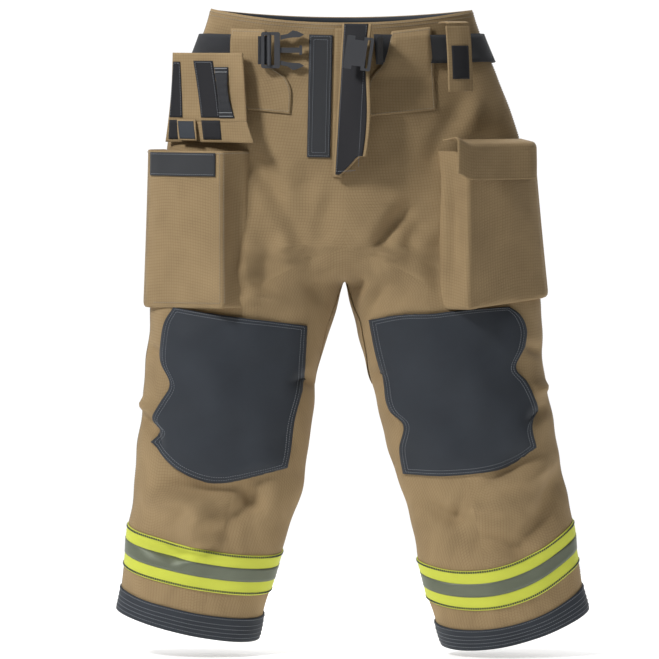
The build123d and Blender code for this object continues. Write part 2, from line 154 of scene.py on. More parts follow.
weave = bpy.data.node_groups.new("woven_ground", "ShaderNodeTree")
for socket_name, kind, way in (
    ("Vector", "NodeSocketVector", "INPUT"), ("Grid", "NodeSocketFloat", "INPUT"),
    ("Thread", "NodeSocketFloat", "INPUT"), ("Line", "NodeSocketFloat", "OUTPUT"),
    ("Height", "NodeSocketFloat", "OUTPUT"), ("Cloud", "NodeSocketFloat", "OUTPUT"),
):
    weave.interface.new_socket(socket_name, in_out=way, socket_type=kind)
w_in, w_out = weave.nodes.new("NodeGroupInput"), weave.nodes.new("NodeGroupOutput")
parts = weave.nodes.new("ShaderNodeSeparateXYZ")
link(weave, w_in.outputs["Vector"], parts.inputs[0])
ridges, threads = [], []
for axis in ("X", "Y"):
    turns = sum_node(weave, "FRACT", sum_node(weave, "DIVIDE", parts.outputs[axis], w_in.outputs["Grid"]))
    away = sum_node(weave, "ABSOLUTE", sum_node(weave, "SUBTRACT", turns, 0.5))
    steep = sum_node(weave, "MULTIPLY", sum_node(weave, "SUBTRACT", away, 0.36), 7.0)
    ridges.append(sum_node(weave, "SMOOTH_MAX", steep, 0.0, 0.1))
    wave_length = sum_node(weave, "DIVIDE", w_in.outputs["Thread"], 2 * pi)
    threads.append(sum_node(weave, "SINE", sum_node(weave, "DIVIDE", parts.outputs[axis], wave_length)))
line = sum_node(weave, "MAXIMUM", *ridges)
both = sum_node(weave, "MULTIPLY", *threads)
link(weave, line, w_out.inputs["Line"])
link(weave, sum_node(weave, "ADD", line, sum_node(weave, "MULTIPLY", both, 0.25)), w_out.inputs["Height"])


def noise_at(tree, where, scale, detail=2.0):
    grain = tree.nodes.new("ShaderNodeTexNoise")
    give(grain, Scale=scale, Detail=detail)
    link(tree, where, grain.inputs["Vector"])
    return grain.outputs["Fac"]


def mixed(tree, factor, low, high):
    """A colour that moves between two as the factor does."""
    mix = tree.nodes.new("ShaderNodeMix")
    mix.data_type = "RGBA"
    give(mix, A=(*low, 1), B=(*high, 1))
    link(tree, factor, mix.inputs["Factor"])
    return mix.outputs["Result"]


def raise_by(tree, skin, height, strength, distance):
    raised = tree.nodes.new("ShaderNodeBump")
    give(raised, Strength=strength, Distance=distance)
    link(tree, height, raised.inputs["Height"])
    link(tree, raised.outputs["Normal"], skin.inputs["Normal"])


link(weave, noise_at(weave, w_in.outputs["Vector"], 14.0, 5.0), w_out.inputs["Cloud"])


def cloth_finish(name, base, grid_line, grid=0.0053, thread=0.0011, roughness=0.86, bump=0.45, sheen=0.03,
                 shade=0.14):
    """A woven cloth: its ground colour, the colour of its raised threads, and how far the shade wanders."""
    made, tree, skin = new_material(name)
    ground = tree.nodes.new("ShaderNodeGroup")
    ground.node_tree = weave
    give(ground, Grid=grid, Thread=thread)
    link(tree, tree.nodes.new("ShaderNodeUVMap").outputs["UV"], ground.inputs["Vector"])
    wander = tree.nodes.new("ShaderNodeMix")
    wander.data_type, wander.blend_type = "RGBA", "MULTIPLY"
    give(wander, B=(1 - shade * 2.2, 1 - shade * 2.3, 1 - shade * 2.4, 1))
    link(tree, mixed(tree, ground.outputs["Line"], base, grid_line), wander.inputs["A"])
    drift = sum_node(tree, "SUBTRACT", ground.outputs["Cloud"], 0.32)
    link(tree, sum_node(tree, "MULTIPLY", drift, 1.6), wander.inputs["Factor"])
    link(tree, wander.outputs["Result"], skin.inputs["Base Color"])
    give(skin, Roughness=roughness, Sheen_Weight=sheen, Sheen_Roughness=0.5, Specular_IOR_Level=0.25)
    raise_by(tree, skin, ground.outputs["Height"], bump, 0.0006)
    return made


shell_cloth = cloth_finish("shell_ripstop", (0.375, 0.268, 0.142), (0.30, 0.205, 0.105))

# ---------------------------------------------------------------- shell
# The outer shell is one heavy ripstop cloth cut in eight panels, sewn down the sides, the inside legs
# and the middle, and hung open from the waist. Its drag folds run out from the crotch, and it is creased
# at the backs and sides of the knees.
RIGHT, LEFT = -1, 1
HEIGHTS = np.array([-1.16, -1.05, -0.94, -0.83, -0.72, -0.60, -0.49, -0.38, -0.29, -0.19, -0.09, 0.0, 0.07])
OUTER = {
    RIGHT: np.array([0.414, 0.402, 0.388, 0.372, 0.361, 0.350, 0.341,
                    0.333, 0.324, 0.308, 0.277, 0.244, 0.226]),
    LEFT: np.array([0.448, 0.430, 0.410, 0.392, 0.372, 0.352, 0.344,
                   0.331, 0.322, 0.304, 0.268, 0.232, 0.212]),
}
DEPTH = np.array([0.075, 0.078, 0.082, 0.087, 0.093, 0.098, 0.105, 0.110, 0.113, 0.110, 0.103, 0.095, 0.090])
LEG_HEIGHTS = np.array([-1.16, -1.05, -0.94, -0.83, -0.72, -0.60, -0.49, -0.447])
INNER = {
    RIGHT: np.array([0.176, 0.146, 0.116, 0.078, 0.060, 0.045, 0.013, 0.0]),
    LEFT: np.array([0.192, 0.160, 0.129, 0.105, 0.070, 0.042, 0.010, 0.0]),
}
HEM = {RIGHT: (0.277, -1.050, 0.218, 0.2), LEFT: (0.304, -1.060, 0.255, 0.2)}
# how far the bands bow down in the middle, and how far they rise at the inside of the leg
HEM_BOW = {RIGHT: (0.0, 0.009), LEFT: (0.027, 0.0)}
CROTCH_TOP, CROTCH_DROP = -0.345, 0.102


def fair(heights, widths, at):
    """Reads a smooth line drawn through the pattern's widths."""
    at = np.clip(at, heights[0], heights[-1])
    slopes = np.gradient(widths, heights)
    i = np.clip(np.searchsorted(heights, at) - 1, 0, len(heights) - 2)
    span = heights[i + 1] - heights[i]
    f = (at - heights[i]) / span
    return ((2 * f**3 - 3 * f**2 + 1) * widths[i] + (f**3 - 2 * f**2 + f) * span * slopes[i]
            + (3 * f**2 - 2 * f**3) * widths[i + 1] + (f**3 - f**2) * span * slopes[i + 1])


def split_of(z):
    """How far the legs have parted at a height: -0.07 above the crotch, 1 at its lowest point."""
    return -0.07 + 1.07 * np.clip((CROTCH_TOP - z) / CROTCH_DROP, 0, 1) ** 1.5


def height_of_split(q):
    return CROTCH_TOP - CROTCH_DROP * np.clip((q + 0.07) / 1.07, 0, 1) ** (1 / 1.5)


# drag folds on the front: depth, half-width, and the line each follows, in millimetres
FRONT_FOLDS = [
    (-13, 17, [(-160, -225), (-141, -266), (-121, -304), (-111, -345)]),
    (9, 15, [(-148, -262), (-130, -308), (-104, -357), (-84, -400), (-62, -440)]),
    (-13, 15, [(-108, -335), (-81, -382), (-60, -418), (-47, -470)]),
    (-11, 16, [(-137, -385), (-146, -430), (-141, -462)]),
    (7, 14, [(-170, -350), (-166, -421), (-152, -458)]),
    (8, 9, [(-186, -476), (-153, -468), (-107, -478)]),
    (-7, 16, [(-22, -280), (-34, -330), (-46, -380)]),
    (-6, 20, [(-60, -250), (-75, -300), (-74, -340)]),
    (-15, 17, [(122, -300), (83, -345), (49, -389), (33, -425)]),
    (-9, 13, [(140, -335), (116, -363), (100, -410)]),
    (-10, 14, [(172, -378), (157, -415), (164, -460)]),
    (9, 14, [(104, -355), (72, -415), (48, -456), (33, -492)]),
    (-9, 9, [(66, -443), (56, -470), (38, -502)]),
    (8, 13, [(92, -308), (55, -360), (30, -400)]),
    (6, 10, [(160, -492), (120, -484), (70, -496)]),
    (-8, 13, [(-310, -806), (-257, -810), (-194, -806), (-130, -780)]),
    (7, 16, [(-345, -828), (-285, -834), (-245, -850)]),
    (-8, 18, [(-150, -800), (-170, -840), (-232, -890)]),
    (6, 16, [(-300, -880), (-240, -862), (-190, -872)]),
    (-7, 14, [(-345, -905), (-300, -925), (-240, -915)]),
    (9, 20, [(-250, -832), (-262, -880), (-267, -925)]),
    (-9, 10, [(-176, -810), (-160, -828), (-148, -845)]),
    (-8, 14, [(248, -799), (290, -775), (327, -746)]),
    (-9, 12, [(148, -838), (185, -862), (210, -830)]),
    (7, 16, [(185, -835), (240, -850), (300, -830)]),
    (-8, 18, [(380, -790), (350, -850), (300, -910)]),
    (-6, 14, [(200, -905), (260, -900), (330, -925)]),
    (6, 18, [(250, -800), (320, -790), (370, -760)]),
    (-9, 7, [(-352, -566), (-326, -576)]),
    (-9, 7, [(-92, -624), (-70, -614), (-48, -632)]),
    (-10, 8, [(-362, -684), (-330, -712), (-322, -738)]),
    (9, 11, [(-360, -660), (-335, -672)]),
    (-9, 7, [(44, -618), (60, -608), (76, -612)]),
    (-9, 7, [(318, -560), (350, -574)]),
    (-10, 8, [(318, -690), (360, -668)]),
    (8, 10, [(326, -640), (362, -630)]),
    (-7, 12, [(-200, -120), (-235, -165)]),
    (-6, 16, [(205, -130), (170, -190), (150, -240)]),
    (5, 16, [(235, -120), (215, -180)]),
]
BACK_FOLDS = [
    (-12, 16, [(-30, -360), (-90, -420), (-170, -455), (-240, -470)]),
    (-12, 16, [(30, -360), (95, -415), (165, -458), (245, -465)]),
    (8, 15, [(-20, -330), (-100, -375), (-190, -410)]),
    (8, 15, [(22, -330), (110, -370), (195, -412)]),
    (-9, 18, [(-60, -150), (-70, -240), (-40, -320)]),
    (-9, 18, [(70, -160), (64, -240), (42, -310)]),
    (-11, 12, [(-330, -620), (-230, -655), (-120, -630), (-66, -640)]),
    (-10, 11, [(-340, -700), (-240, -690), (-130, -705)]),
    (9, 12, [(-320, -660), (-230, -675), (-110, -668)]),
    (-11, 12, [(330, -610), (230, -650), (130, -632), (66, -636)]),
    (-10, 11, [(345, -695), (250, -688), (140, -702)]),
    (9, 12, [(330, -655), (235, -672), (110, -665)]),
    (-8, 18, [(-320, -840), (-250, -880), (-190, -930)]),
    (-8, 18, [(340, -850), (270, -880), (230, -940)]),
]


# the folds are deeper than drawn above, and deeper still on the shins
FOLD_SCALE, SHIN_SCALE, SHIN_TOP = 1.65, 1.45, -0.77


def crease(points, normals):
    """How far the cloth stands out of its smooth form at each point."""
    loose = np.clip((-0.10 - points[:, 2]) / 0.2, 0.25, 1)
    x, y, z = points.T
    stand = 0.0026 * np.sin(x * 31 + z * 17 + 0.4) * np.sin(z * 23 - y * 27)
    stand += 0.0016 * np.sin(x * 61 - z * 39 + 1.9) * np.sin(z * 47 + x * 21)
    stand *= loose
    for folds, facing in ((FRONT_FOLDS, -1), (BACK_FOLDS, 1)):
        shown = np.clip((facing * normals[:, 1] - 0.02) / 0.35, 0, 1)
        for depth, half_width, line in folds:
            path = np.array(line, float) / 1000
            lengths = np.linalg.norm(np.diff(path, axis=0), axis=1)
            total, walked = lengths.sum(), 0.0
            nearest, along = np.full(len(points), 9.0), np.zeros(len(points))
            for k, length in enumerate(lengths):
                run = (path[k + 1] - path[k]) / length
                off = points[:, (0, 2)] - path[k]
                on = np.clip(off @ run, 0, length)
                gap = np.linalg.norm(off - on[:, None] * run, axis=1)
                closer = gap < nearest
                nearest = np.where(closer, gap, nearest)
                along = np.where(closer, (walked + on) / total, along)
                walked += length
            taper = np.clip(np.sin(pi * np.clip(along * 0.9 + 0.05, 0, 1)), 0, 1) ** 0.6
            strength = np.where(z < SHIN_TOP, SHIN_SCALE, 1.0) * FOLD_SCALE
            stand += shown * taper * depth * strength / 1000 * np.exp(-((nearest / (half_width / 1000)) ** 2))
    return stand


def shell_point(side, phi, z, lift=0.0, creased=True):
    """Points of one half's surface, lifted off it. phi is 0 at the side seam and 90 degrees at the front."""
    outer, depth = fair(HEIGHTS, OUTER[side], z), fair(HEIGHTS, DEPTH, z)
    q = split_of(z)
    inner = np.where(q < 1, -outer * (1 - q) / (1 + q), fair(LEG_HEIGHTS, INNER[side], z))
    centre, half = (outer + inner) / 2, (outer - inner) / 2
    at = np.stack([side * (centre + half * np.cos(phi)), -depth * np.sin(phi), z], 1)
    out = np.stack([side * np.cos(phi) / half, -np.sin(phi) / depth, np.zeros_like(z)], 1)
    seam = np.abs(at[:, 0]) < 1e-4
    out[seam, 0] = 0
    out /= np.linalg.norm(out, axis=1)[:, None]
    stand = lift + (crease(at, out) if creased else 0)
    moved = at + out * np.reshape(stand, (-1, 1) if np.ndim(stand) else (1, 1))
    moved[seam, 0] = 0
    return moved


def hem_height(side, phi, rise=0.0):
    """The height of a line round the leg, this far above the hem."""
    out, height, slope, pitch = HEM[side]
    bow, inside = HEM_BOW[side]
    up_band = np.clip(rise / 0.075, 0, 1)
    bowed = bow * (0.4 + 0.6 * up_band) * (np.cos(phi) ** 2 - 0.55) + inside * up_band * (1 - np.cos(phi)) / 2
    z = np.full_like(phi, height) + rise
    for _ in range(4):
        at = shell_point(side, phi, z, creased=False)
        z = height + slope * (side * at[:, 0] - out) + pitch * at[:, 1] + bowed
        z = z + rise * sqrt(1 + slope**2 + pitch**2)
    return z


def waist_height(side, phi):
    at = shell_point(side, phi, np.zeros_like(phi), creased=False)
    front, back = 1.213, 2.21
    x = at[:, 0]
    return np.where(phi > 0, 0.006 + front - np.sqrt(front**2 - x**2), 0.016 + back - np.sqrt(back**2 - x**2))


def cloth(name, columns, rows, place, finish, joined=0.0):
    """A woven piece: a grid set in place by place(s, t), with its lengths along and across as its UV map."""
    bm = bmesh.new()
    bmesh.ops.create_grid(bm, x_segments=columns, y_segments=rows, size=1)
    made = bpy.data.meshes.new(name)
    bm.to_mesh(made)
    bm.free()
    flat = np.empty(len(made.vertices) * 3)
    made.vertices.foreach_get("co", flat)
    s, t = (flat.reshape(-1, 3)[:, :2].T + 1) / 2
    points = np.asarray(place(s, t), float)
    made.vertices.foreach_set("co", points.ravel())
    columns, rows = len(np.unique(np.round(s * columns))) - 1, len(np.unique(np.round(t * rows))) - 1
    i, j = np.round(s * columns).astype(int), np.round(t * rows).astype(int)
    laid = np.zeros((rows + 1, columns + 1, 3))
    laid[j, i] = points
    across = np.zeros((rows + 1, columns + 1))
    across[:, 1:] = np.cumsum(np.linalg.norm(np.diff(laid, axis=1), axis=2), axis=1)
    along = np.zeros((rows + 1, columns + 1))
    along[1:] = np.cumsum(np.linalg.norm(np.diff(laid, axis=0), axis=2), axis=0)
    across -= across[:, columns // 2][:, None]
    uv_layer = made.uv_layers.new(name="UVMap")
    ends = np.empty(len(made.loops), int)
    made.loops.foreach_get("vertex_index", ends)
    uv_layer.data.foreach_set("uv", np.stack([across[j, i][ends], along[j, i][ends]], 1).ravel())
    made.materials.append(finish)
    bm = bmesh.new()
    bm.from_mesh(made)
    if joined:
        bmesh.ops.remove_doubles(bm, verts=bm.verts, dist=joined)
    middle = sum((v.co for v in bm.verts), Vector()) / len(bm.verts)
    inside = middle if joined else Vector((middle.x * 0.5, 0, 0))
    bm.normal_update()
    if sum((f.calc_center_median() - inside).xy.dot(f.normal.xy) * f.calc_area() for f in bm.faces) < 0:
        bmesh.ops.reverse_faces(bm, faces=bm.faces)
    bm.to_mesh(made)
    bm.free()
    made.polygons.foreach_set("use_smooth", [True] * len(made.polygons))
    piece = bpy.data.objects.new(name, made)
    scene.collection.objects.link(piece)
    return piece


def joined_cloth(name, pieces, distance=0.0004):
    """Sews pieces of one cloth together along the edges they share."""
    bm = bmesh.new()
    for piece in pieces:
        bm.from_mesh(piece.data)
    bmesh.ops.remove_doubles(bm, verts=bm.verts, dist=distance)
    bmesh.ops.recalc_face_normals(bm, faces=bm.faces)
    first = pieces[0].data
    whole = bpy.data.meshes.new(name)
    whole.materials.append(first.materials[0])
    bm.to_mesh(whole)
    bm.free()
    for piece in pieces:
        bpy.data.objects.remove(piece)
    whole.polygons.foreach_set("use_smooth", [True] * len(whole.polygons))
    sewn = bpy.data.objects.new(name, whole)
    scene.collection.objects.link(sewn)
    return sewn


def thicken(piece, thickness, offset):
    wall = piece.modifiers.new("thickness", "SOLIDIFY")
    wall.thickness, wall.offset = thickness, offset
    wall.use_even_offset = False


def fitted(piece, thickness, offset, slot_name, body, *nodes):
    """Gives a piece its thickness, hangs it on the body it rides on and hides the nodes it stands for; slot_name
    is not used.
    """
    thicken(piece, thickness, offset)
    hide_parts(*nodes)
    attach(piece, body)


def smoothed(bm, verts):
    for _ in range(2):
        bmesh.ops.smooth_vert(bm, verts=verts, factor=0.5, use_axis_x=True, use_axis_y=True, use_axis_z=True)


def rays_on(piece):
    """What rays are cast on to lay one piece on another."""
    bm = bmesh.new()
    bm.from_mesh(piece.data)
    found = BVHTree.FromBMesh(bm)
    bm.free()
    return found


GRID_STEP = 0.0065
LIMIT = radians(100)
PELVIS_LOW = float(height_of_split(np.array(-cos(LIMIT))))


def half_cloth(name, side, lift, finish, step, top_drop=0.0, hem_rise=0.0, sink=0.0):
    """One half's two grids: the outer sheet from the waist to the hem, and the inside of the leg."""
    around, inside, pelvis_rows, leg_rows = [int(length / step) for length in (0.75, 0.33, 0.39, 0.68)]
    rows = pelvis_rows + leg_rows

    def outer_sheet(s, t):
        row = t * rows
        upper = row <= pelvis_rows
        share = np.where(upper, row / pelvis_rows, (row - pelvis_rows) / leg_rows)
        guess = LIMIT * (1 - 2 * s)
        top = waist_height(side, guess * 0.87) - top_drop
        low = hem_height(side, guess, hem_rise)
        z = np.where(upper, top + (PELVIS_LOW - top) * share, PELVIS_LOW + (low - PELVIS_LOW) * share)
        reach = np.minimum(np.arccos(np.clip(-split_of(z), -1, 1)), LIMIT)
        return shell_point(side, reach * (1 - 2 * s), z, lift - sink * np.exp(-(((z + 0.40) / 0.09) ** 2)))

    def inner_sheet(s, t):
        phi = LIMIT + (2 * pi - 2 * LIMIT) * s
        top = height_of_split(-np.cos(phi))
        low = hem_height(side, phi, hem_rise)
        row = np.round(t * leg_rows) / leg_rows
        z = top + (low - top) * row
        return shell_point(side, phi, z, lift - sink * np.exp(-(((z + 0.40) / 0.09) ** 2)))

    outer = cloth(name + "_outer", around, rows, outer_sheet, finish)
    inner = cloth(name + "_inner", inside, leg_rows, inner_sheet, finish)
    return [outer, inner]


def both_halves(name, lift, finish, step, distance, **cut):
    """The same layer for the right and left halves, sewn together down the middle."""
    halves = half_cloth("right", RIGHT, lift, finish, step, **cut)
    halves += half_cloth("left", LEFT, lift, finish, step, **cut)
    return joined_cloth(name, halves, distance)


shell = both_halves("shell", 0.0, shell_cloth, GRID_STEP, 0.0004)
PANELS = [f"{side}_{face}_{length}" for side in ("right", "left") for face in ("front", "back")
          for length in ("panel", "leg_panel")]
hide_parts(*PANELS)
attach(shell, "trousers")
surface = bmesh.new()
surface.from_mesh(shell.data)
inner_verts = [v for v in surface.verts if not v.is_boundary]
smoothed(surface, inner_verts)
surface.to_mesh(shell.data)
shell_tree = BVHTree.FromBMesh(surface)
surface.free()
thicken(shell, 0.003, -1)


def on_shell(x, z, lift, back=False):
    """The point of the shell straight behind (x, z), seen from the front, lifted off the cloth."""
    way = Vector((0, -1, 0)) if back else Vector((0, 1, 0))
    hit, normal, _, _ = shell_tree.ray_cast(Vector((x, 0, z)) - way * 0.5, way)
    if hit is None:
        hit, normal, _, _ = shell_tree.find_nearest(Vector((x, 0.0, z)))
    if normal.dot(way) > 0:
        normal = -normal
    return hit + normal * lift


def smooth_line(points, f):
    """Points at shares f along a line drawn smoothly through a few marks."""
    marks = np.array(points, float) / 1000
    steps = np.concatenate([[0], np.cumsum(np.linalg.norm(np.diff(marks, axis=0), axis=1))])
    if len(marks) == 2:
        return marks[0] + (marks[1] - marks[0]) * f[:, None]
    return np.stack([fair(steps, marks[:, k], f * steps[-1]) for k in range(marks.shape[1])], 1)


def four_sided(top, bottom, left, right):
    """Fills the space between four marked lines, in (x, z)."""

    def fill(s, t):
        over, under = smooth_line(top, s), smooth_line(bottom, s)
        near, far = smooth_line(left, t), smooth_line(right, t)
        a, b, c, d = [np.array(p, float) / 1000 for p in (top[0], top[-1], bottom[0], bottom[-1])]
        s, t = s[:, None], t[:, None]
        flat = (1 - s) * (1 - t) * a + s * (1 - t) * b + (1 - s) * t * c + s * t * d
        return (1 - t) * over + t * under + (1 - s) * near + s * far - flat

    return fill


def laid(fill, lift):
    """Lays a flat shape on the shell."""

    def place(s, t):
        flat = fill(s, t)
        return [on_shell(x, z, lift) for x, z in flat]

    return place


def thread_finish(name, colour):
    made, tree, skin = new_material(name)
    place = tree.nodes.new("ShaderNodeTexCoord").outputs["Object"]
    faded = [c * 0.72 for c in colour]
    link(tree, mixed(tree, noise_at(tree, place, 900), faded, colour), skin.inputs["Base Color"])
    give(skin, Roughness=0.7)
    return made


def stitches(name, rows, finish, body, thick=0.0005, pitch=0.0042):
    """Rows of stitches, each a short pinched thread, along lines of points."""
    bm = bmesh.new()
    for line in rows:
        line = np.array([tuple(p) for p in line], float)
        walked = np.concatenate([[0], np.cumsum(np.linalg.norm(np.diff(line, axis=0), axis=1))])
        count = max(1, int(walked[-1] / pitch))
        for k in range(count):
            ends = [(k + e) * walked[-1] / count for e in (0.12, 0.80)]
            a, b = [Vector([np.interp(e, walked, line[:, c]) for c in range(3)]) for e in ends]
            run = b - a
            if run.length < 1e-5:
                continue
            turn = run.to_track_quat("Z", "Y").to_matrix().to_4x4()
            bmesh.ops.create_cone(bm, cap_ends=True, segments=5, radius1=thick, radius2=thick, depth=run.length,
                                  matrix=Matrix.Translation((a + b) / 2) @ turn)
    made = bpy.data.meshes.new(name)
    bm.to_mesh(made)
    bm.free()
    made.materials.append(finish)
    piece = bpy.data.objects.new(name, made)
    scene.collection.objects.link(piece)
    if body:
        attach(piece, body)
    return piece


def placed_rows(place, runs, out=(0, 0, 0)):
    """Lines across a placed cloth, each from one (s, t) to another, moved off it."""
    f = np.linspace(0, 1, 70)
    return [np.asarray(place(a + (c - a) * f, b + (d - b) * f), float) + np.array(out) for a, b, c, d in runs]


def edge_rows(fill, insets, size, lift):
    """Lines just inside the edges of a four-sided piece, for its stitching."""
    width, height = size
    lines = []
    for inset in insets:
        s0, t0 = inset / width, inset / height
        f = np.linspace(0, 1, 60)
        span_s, span_t = s0 + (1 - 2 * s0) * f, t0 + (1 - 2 * t0) * f
        for run in ((span_s, np.full(60, t0)), (span_s, np.full(60, 1 - t0)),
                    (np.full(60, s0), span_t), (np.full(60, 1 - s0), span_t)):
            lines.append([on_shell(x, z, lift) for x, z in fill(*run)])
    return lines


grey_thread = thread_finish("grey_thread", (0.20, 0.215, 0.24))
tan_thread = thread_finish("tan_thread", (0.40, 0.34, 0.25))

seam_rows = []
for side in (RIGHT, LEFT):
    for turn in (-0.02, 0.02):
        fall = np.linspace(0.0, 1.0, 400)
        phi = np.full(400, turn)
        top, low = waist_height(side, phi) - 0.004, hem_height(side, phi) + 0.03
        seam_rows.append(shell_point(side, phi, top + (low - top) * fall, 0.0003))
    seam_rows.append([on_shell(side * 0.004, z, 0.0004, back=True) for z in np.linspace(-0.01, -0.41, 180)])
    for rise in (0.0045, 0.0105):
        phi = np.linspace(-1.48, 1.48, 300)
        seam_rows.append(shell_point(side, phi, waist_height(side, phi) - rise, 0.0003))
stitches("shell_seams", seam_rows, tan_thread, "trousers")

# ---------------------------------------------------------------- knee patches
# A stiff, dark, coated cloth over a foam pad, turned under at its edges and held by two rows of
# grey stitching. The sides dip in where the knee is pleated.
dark_cloth = cloth_finish("dark_coated_cloth", (0.034, 0.040, 0.050), (0.040, 0.047, 0.058), grid=0.0021,
                          thread=0.0009, roughness=0.66, bump=0.18, sheen=0.04, shade=0.12)
KNEE = {
    "right": ([(-297, -491), (-240, -499), (-150, -511), (-69, -523)],
              [(-338, -730), (-290, -776), (-243, -794), (-150, -783), (-104, -773)],
              [(-297, -491), (-312, -516), (-318, -546), (-319, -588), (-304, -628),
               (-320, -658), (-334, -686), (-319, -706), (-338, -730)],
              [(-69, -523), (-72, -576), (-77, -632), (-92, -693), (-98, -743), (-104, -773)]),
    "left": ([(46, -514), (90, -503), (157, -499), (213, -493), (285, -490)],
             [(106, -785), (181, -785), (268, -773), (304, -757), (333, -737)],
             [(46, -514), (58, -576), (70, -618), (83, -674), (104, -694), (99, -741), (106, -785)],
             [(285, -490), (304, -505), (315, -532), (311, -560), (297, -598),
              (316, -623), (330, -652), (335, -680), (326, -697), (333, -737)]),
}
for word, lines in KNEE.items():
    fill = four_sided(*lines)
    patch = cloth(word + "_knee_patch_cloth", 56, 60, laid(fill, 0.006), dark_cloth)
    pad = np.array([tuple(v.co) for v in patch.data.vertices])
    middle = pad.mean(axis=0)
    reach = np.abs((pad - middle) / (np.ptp(pad, axis=0) / 2))
    rise = np.clip(1 - reach[:, 0] ** 4, 0, 1) * np.clip(1 - reach[:, 2] ** 4, 0, 1)
    x, z = pad[:, 0], pad[:, 2]
    dents = np.sin(x * 40 + z * 8) * np.sin(z * 24 + 1.2) + 0.6 * np.sin(x * 21 - z * 37)
    for v, amount, dent in zip(patch.data.vertices, rise, dents):
        v.co.y -= (0.007 + 0.0028 * dent) * amount - 0.0030
    fitted(patch, 0.0035, -1, "reinforcing_fabric", "trousers", word + "_knee_patch", word + "_knee_pad")
    patch_tree = rays_on(patch)
    rows = []
    for line in edge_rows(fill, (0.0035, 0.0085), (0.25, 0.28), 0.003):
        hits = [patch_tree.ray_cast(Vector((p[0], -0.5, p[2])), Vector((0, 1, 0)))[0] for p in line]
        on_patch = [hit + Vector((0, -0.0002, 0)) for hit in hits if hit is not None]
        if len(on_patch) > 2:
            rows.append(on_patch)
    stitches(word + "_knee_stitches", rows, grey_thread, "trousers")

# ---------------------------------------------------------------- leg bands
# Each leg has a fluorescent band with a silver reflective stripe along its middle, sewn at its edges with
# dark thread, and below it the hem bound in dark coated cloth with five rows of stitching.


def round_leg(side, low, high, lift):
    """A strip right round one leg, between two heights above the hem."""

    def place(s, t):
        phi = 2 * pi * s
        return shell_point(side, phi, hem_height(side, phi, low + (high - low) * t), lift)

    return place


def leg_line(side, rise, lift):
    phi = np.linspace(0, 2 * pi, 160)
    return shell_point(side, phi, hem_height(side, phi, rise), lift)


lime = cloth_finish("fluorescent_lime_painted_glow", (0.60, 0.645, 0.075), (0.54, 0.585, 0.065), grid=0.0016, thread=0.0008,
                    roughness=0.6, bump=0.15, sheen=0.05, shade=0.05)
# the lime band is given a faint painted glow (emission), so it stays bright without lamplight
give(lime.node_tree.nodes["Principled BSDF"], Emission_Color=(0.70, 0.78, 0.10, 1), Emission_Strength=0.06)
silver = cloth_finish("silver_stripe", (0.165, 0.185, 0.135), (0.14, 0.158, 0.115), grid=0.0012, thread=0.0006,
                      roughness=0.46, bump=0.08, sheen=0.0, shade=0.10)
give(silver.node_tree.nodes["Principled BSDF"], Metallic=0.2)
navy_thread = thread_finish("navy_thread", (0.035, 0.045, 0.06))
BAND_LOW, BAND_HIGH = 0.075, 0.146
STRIPE_LOW, STRIPE_HIGH = 0.0985, 0.1225
CUFF_HIGH = 0.037
BAND_ROWS = (0.0772, 0.0790, 0.1422, 0.1440)
CUFF_ROWS = (0.005, 0.0115, 0.018, 0.0245, 0.034)
for side, word in ((RIGHT, "right"), (LEFT, "left")):
    for name, rows, low, high, lift, finish, thickness, node, slot_name in (
        ("lime_band", 12, BAND_LOW, BAND_HIGH, 0.0022, lime, 0.0016, "trim_tape", "trim_lime"),
        ("silver_stripe", 5, STRIPE_LOW, STRIPE_HIGH, 0.0030, silver, 0.0007, "trim_stripe", "trim_silver"),
    ):
        strip = cloth(f"{word}_{name}", 110, rows, round_leg(side, low, high, lift), finish, joined=0.0003)
        fitted(strip, thickness, -1, slot_name, "trousers", f"{word}_{node}")
    stitches(word + "_band_stitches", [leg_line(side, rise, 0.0026) for rise in BAND_ROWS], navy_thread,
             "trousers", thick=0.0008)
    cuff = cloth(word + "_cuff", 110, 10, round_leg(side, -0.0012, CUFF_HIGH, 0.0030), dark_cloth, joined=0.0003)
    fitted(cuff, 0.0026, -1, "reinforcing_fabric", "trousers", word + "_cuff_binding")
    stitches(word + "_cuff_stitches", [leg_line(side, rise, 0.0033) for rise in CUFF_ROWS], grey_thread,
             "trousers")

# ---------------------------------------------------------------- linings
# Inside the shell hang a film moisture barrier and a quilted thermal liner, and a dark facing runs
# round the inside of the waist.
film = cloth_finish("barrier_film", (0.62, 0.60, 0.52), (0.60, 0.58, 0.50), grid=0.002, thread=0.0009,
                    roughness=0.45, bump=0.08, shade=0.06)
quilt = cloth_finish("quilted_lining", (0.40, 0.36, 0.27), (0.26, 0.23, 0.17), grid=0.032, thread=0.0012,
                     roughness=0.9, bump=0.9, shade=0.10)
give(quilt.node_tree.nodes["Bump"], Distance=0.004)
INNER_CUT = {"top_drop": 0.03, "hem_rise": 0.018, "sink": 0.012}
barrier = both_halves("moisture_barrier_film", -0.0058, film, 0.0085, 0.0006, **INNER_CUT)
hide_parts("right_moisture_barrier", "left_moisture_barrier")
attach(barrier, "trousers")
lining = both_halves("thermal_lining", -0.0095, quilt, 0.0085, 0.0006, **INNER_CUT)
fitted(lining, 0.0025, 0, "quilted_lining", "trousers", "right_thermal_liner", "left_thermal_liner")


def waist_strip(side, first, last, top_drop, depth, lift):
    """A strip hanging from the waist edge, between two angles."""

    def place(s, t):
        phi = first + (last - first) * s
        top = waist_height(side, phi) - top_drop
        z = top - depth * t
        reach = np.arccos(np.clip(-split_of(z), -1, 1))
        return shell_point(side, np.clip(phi, -reach, reach), z, lift)

    return place


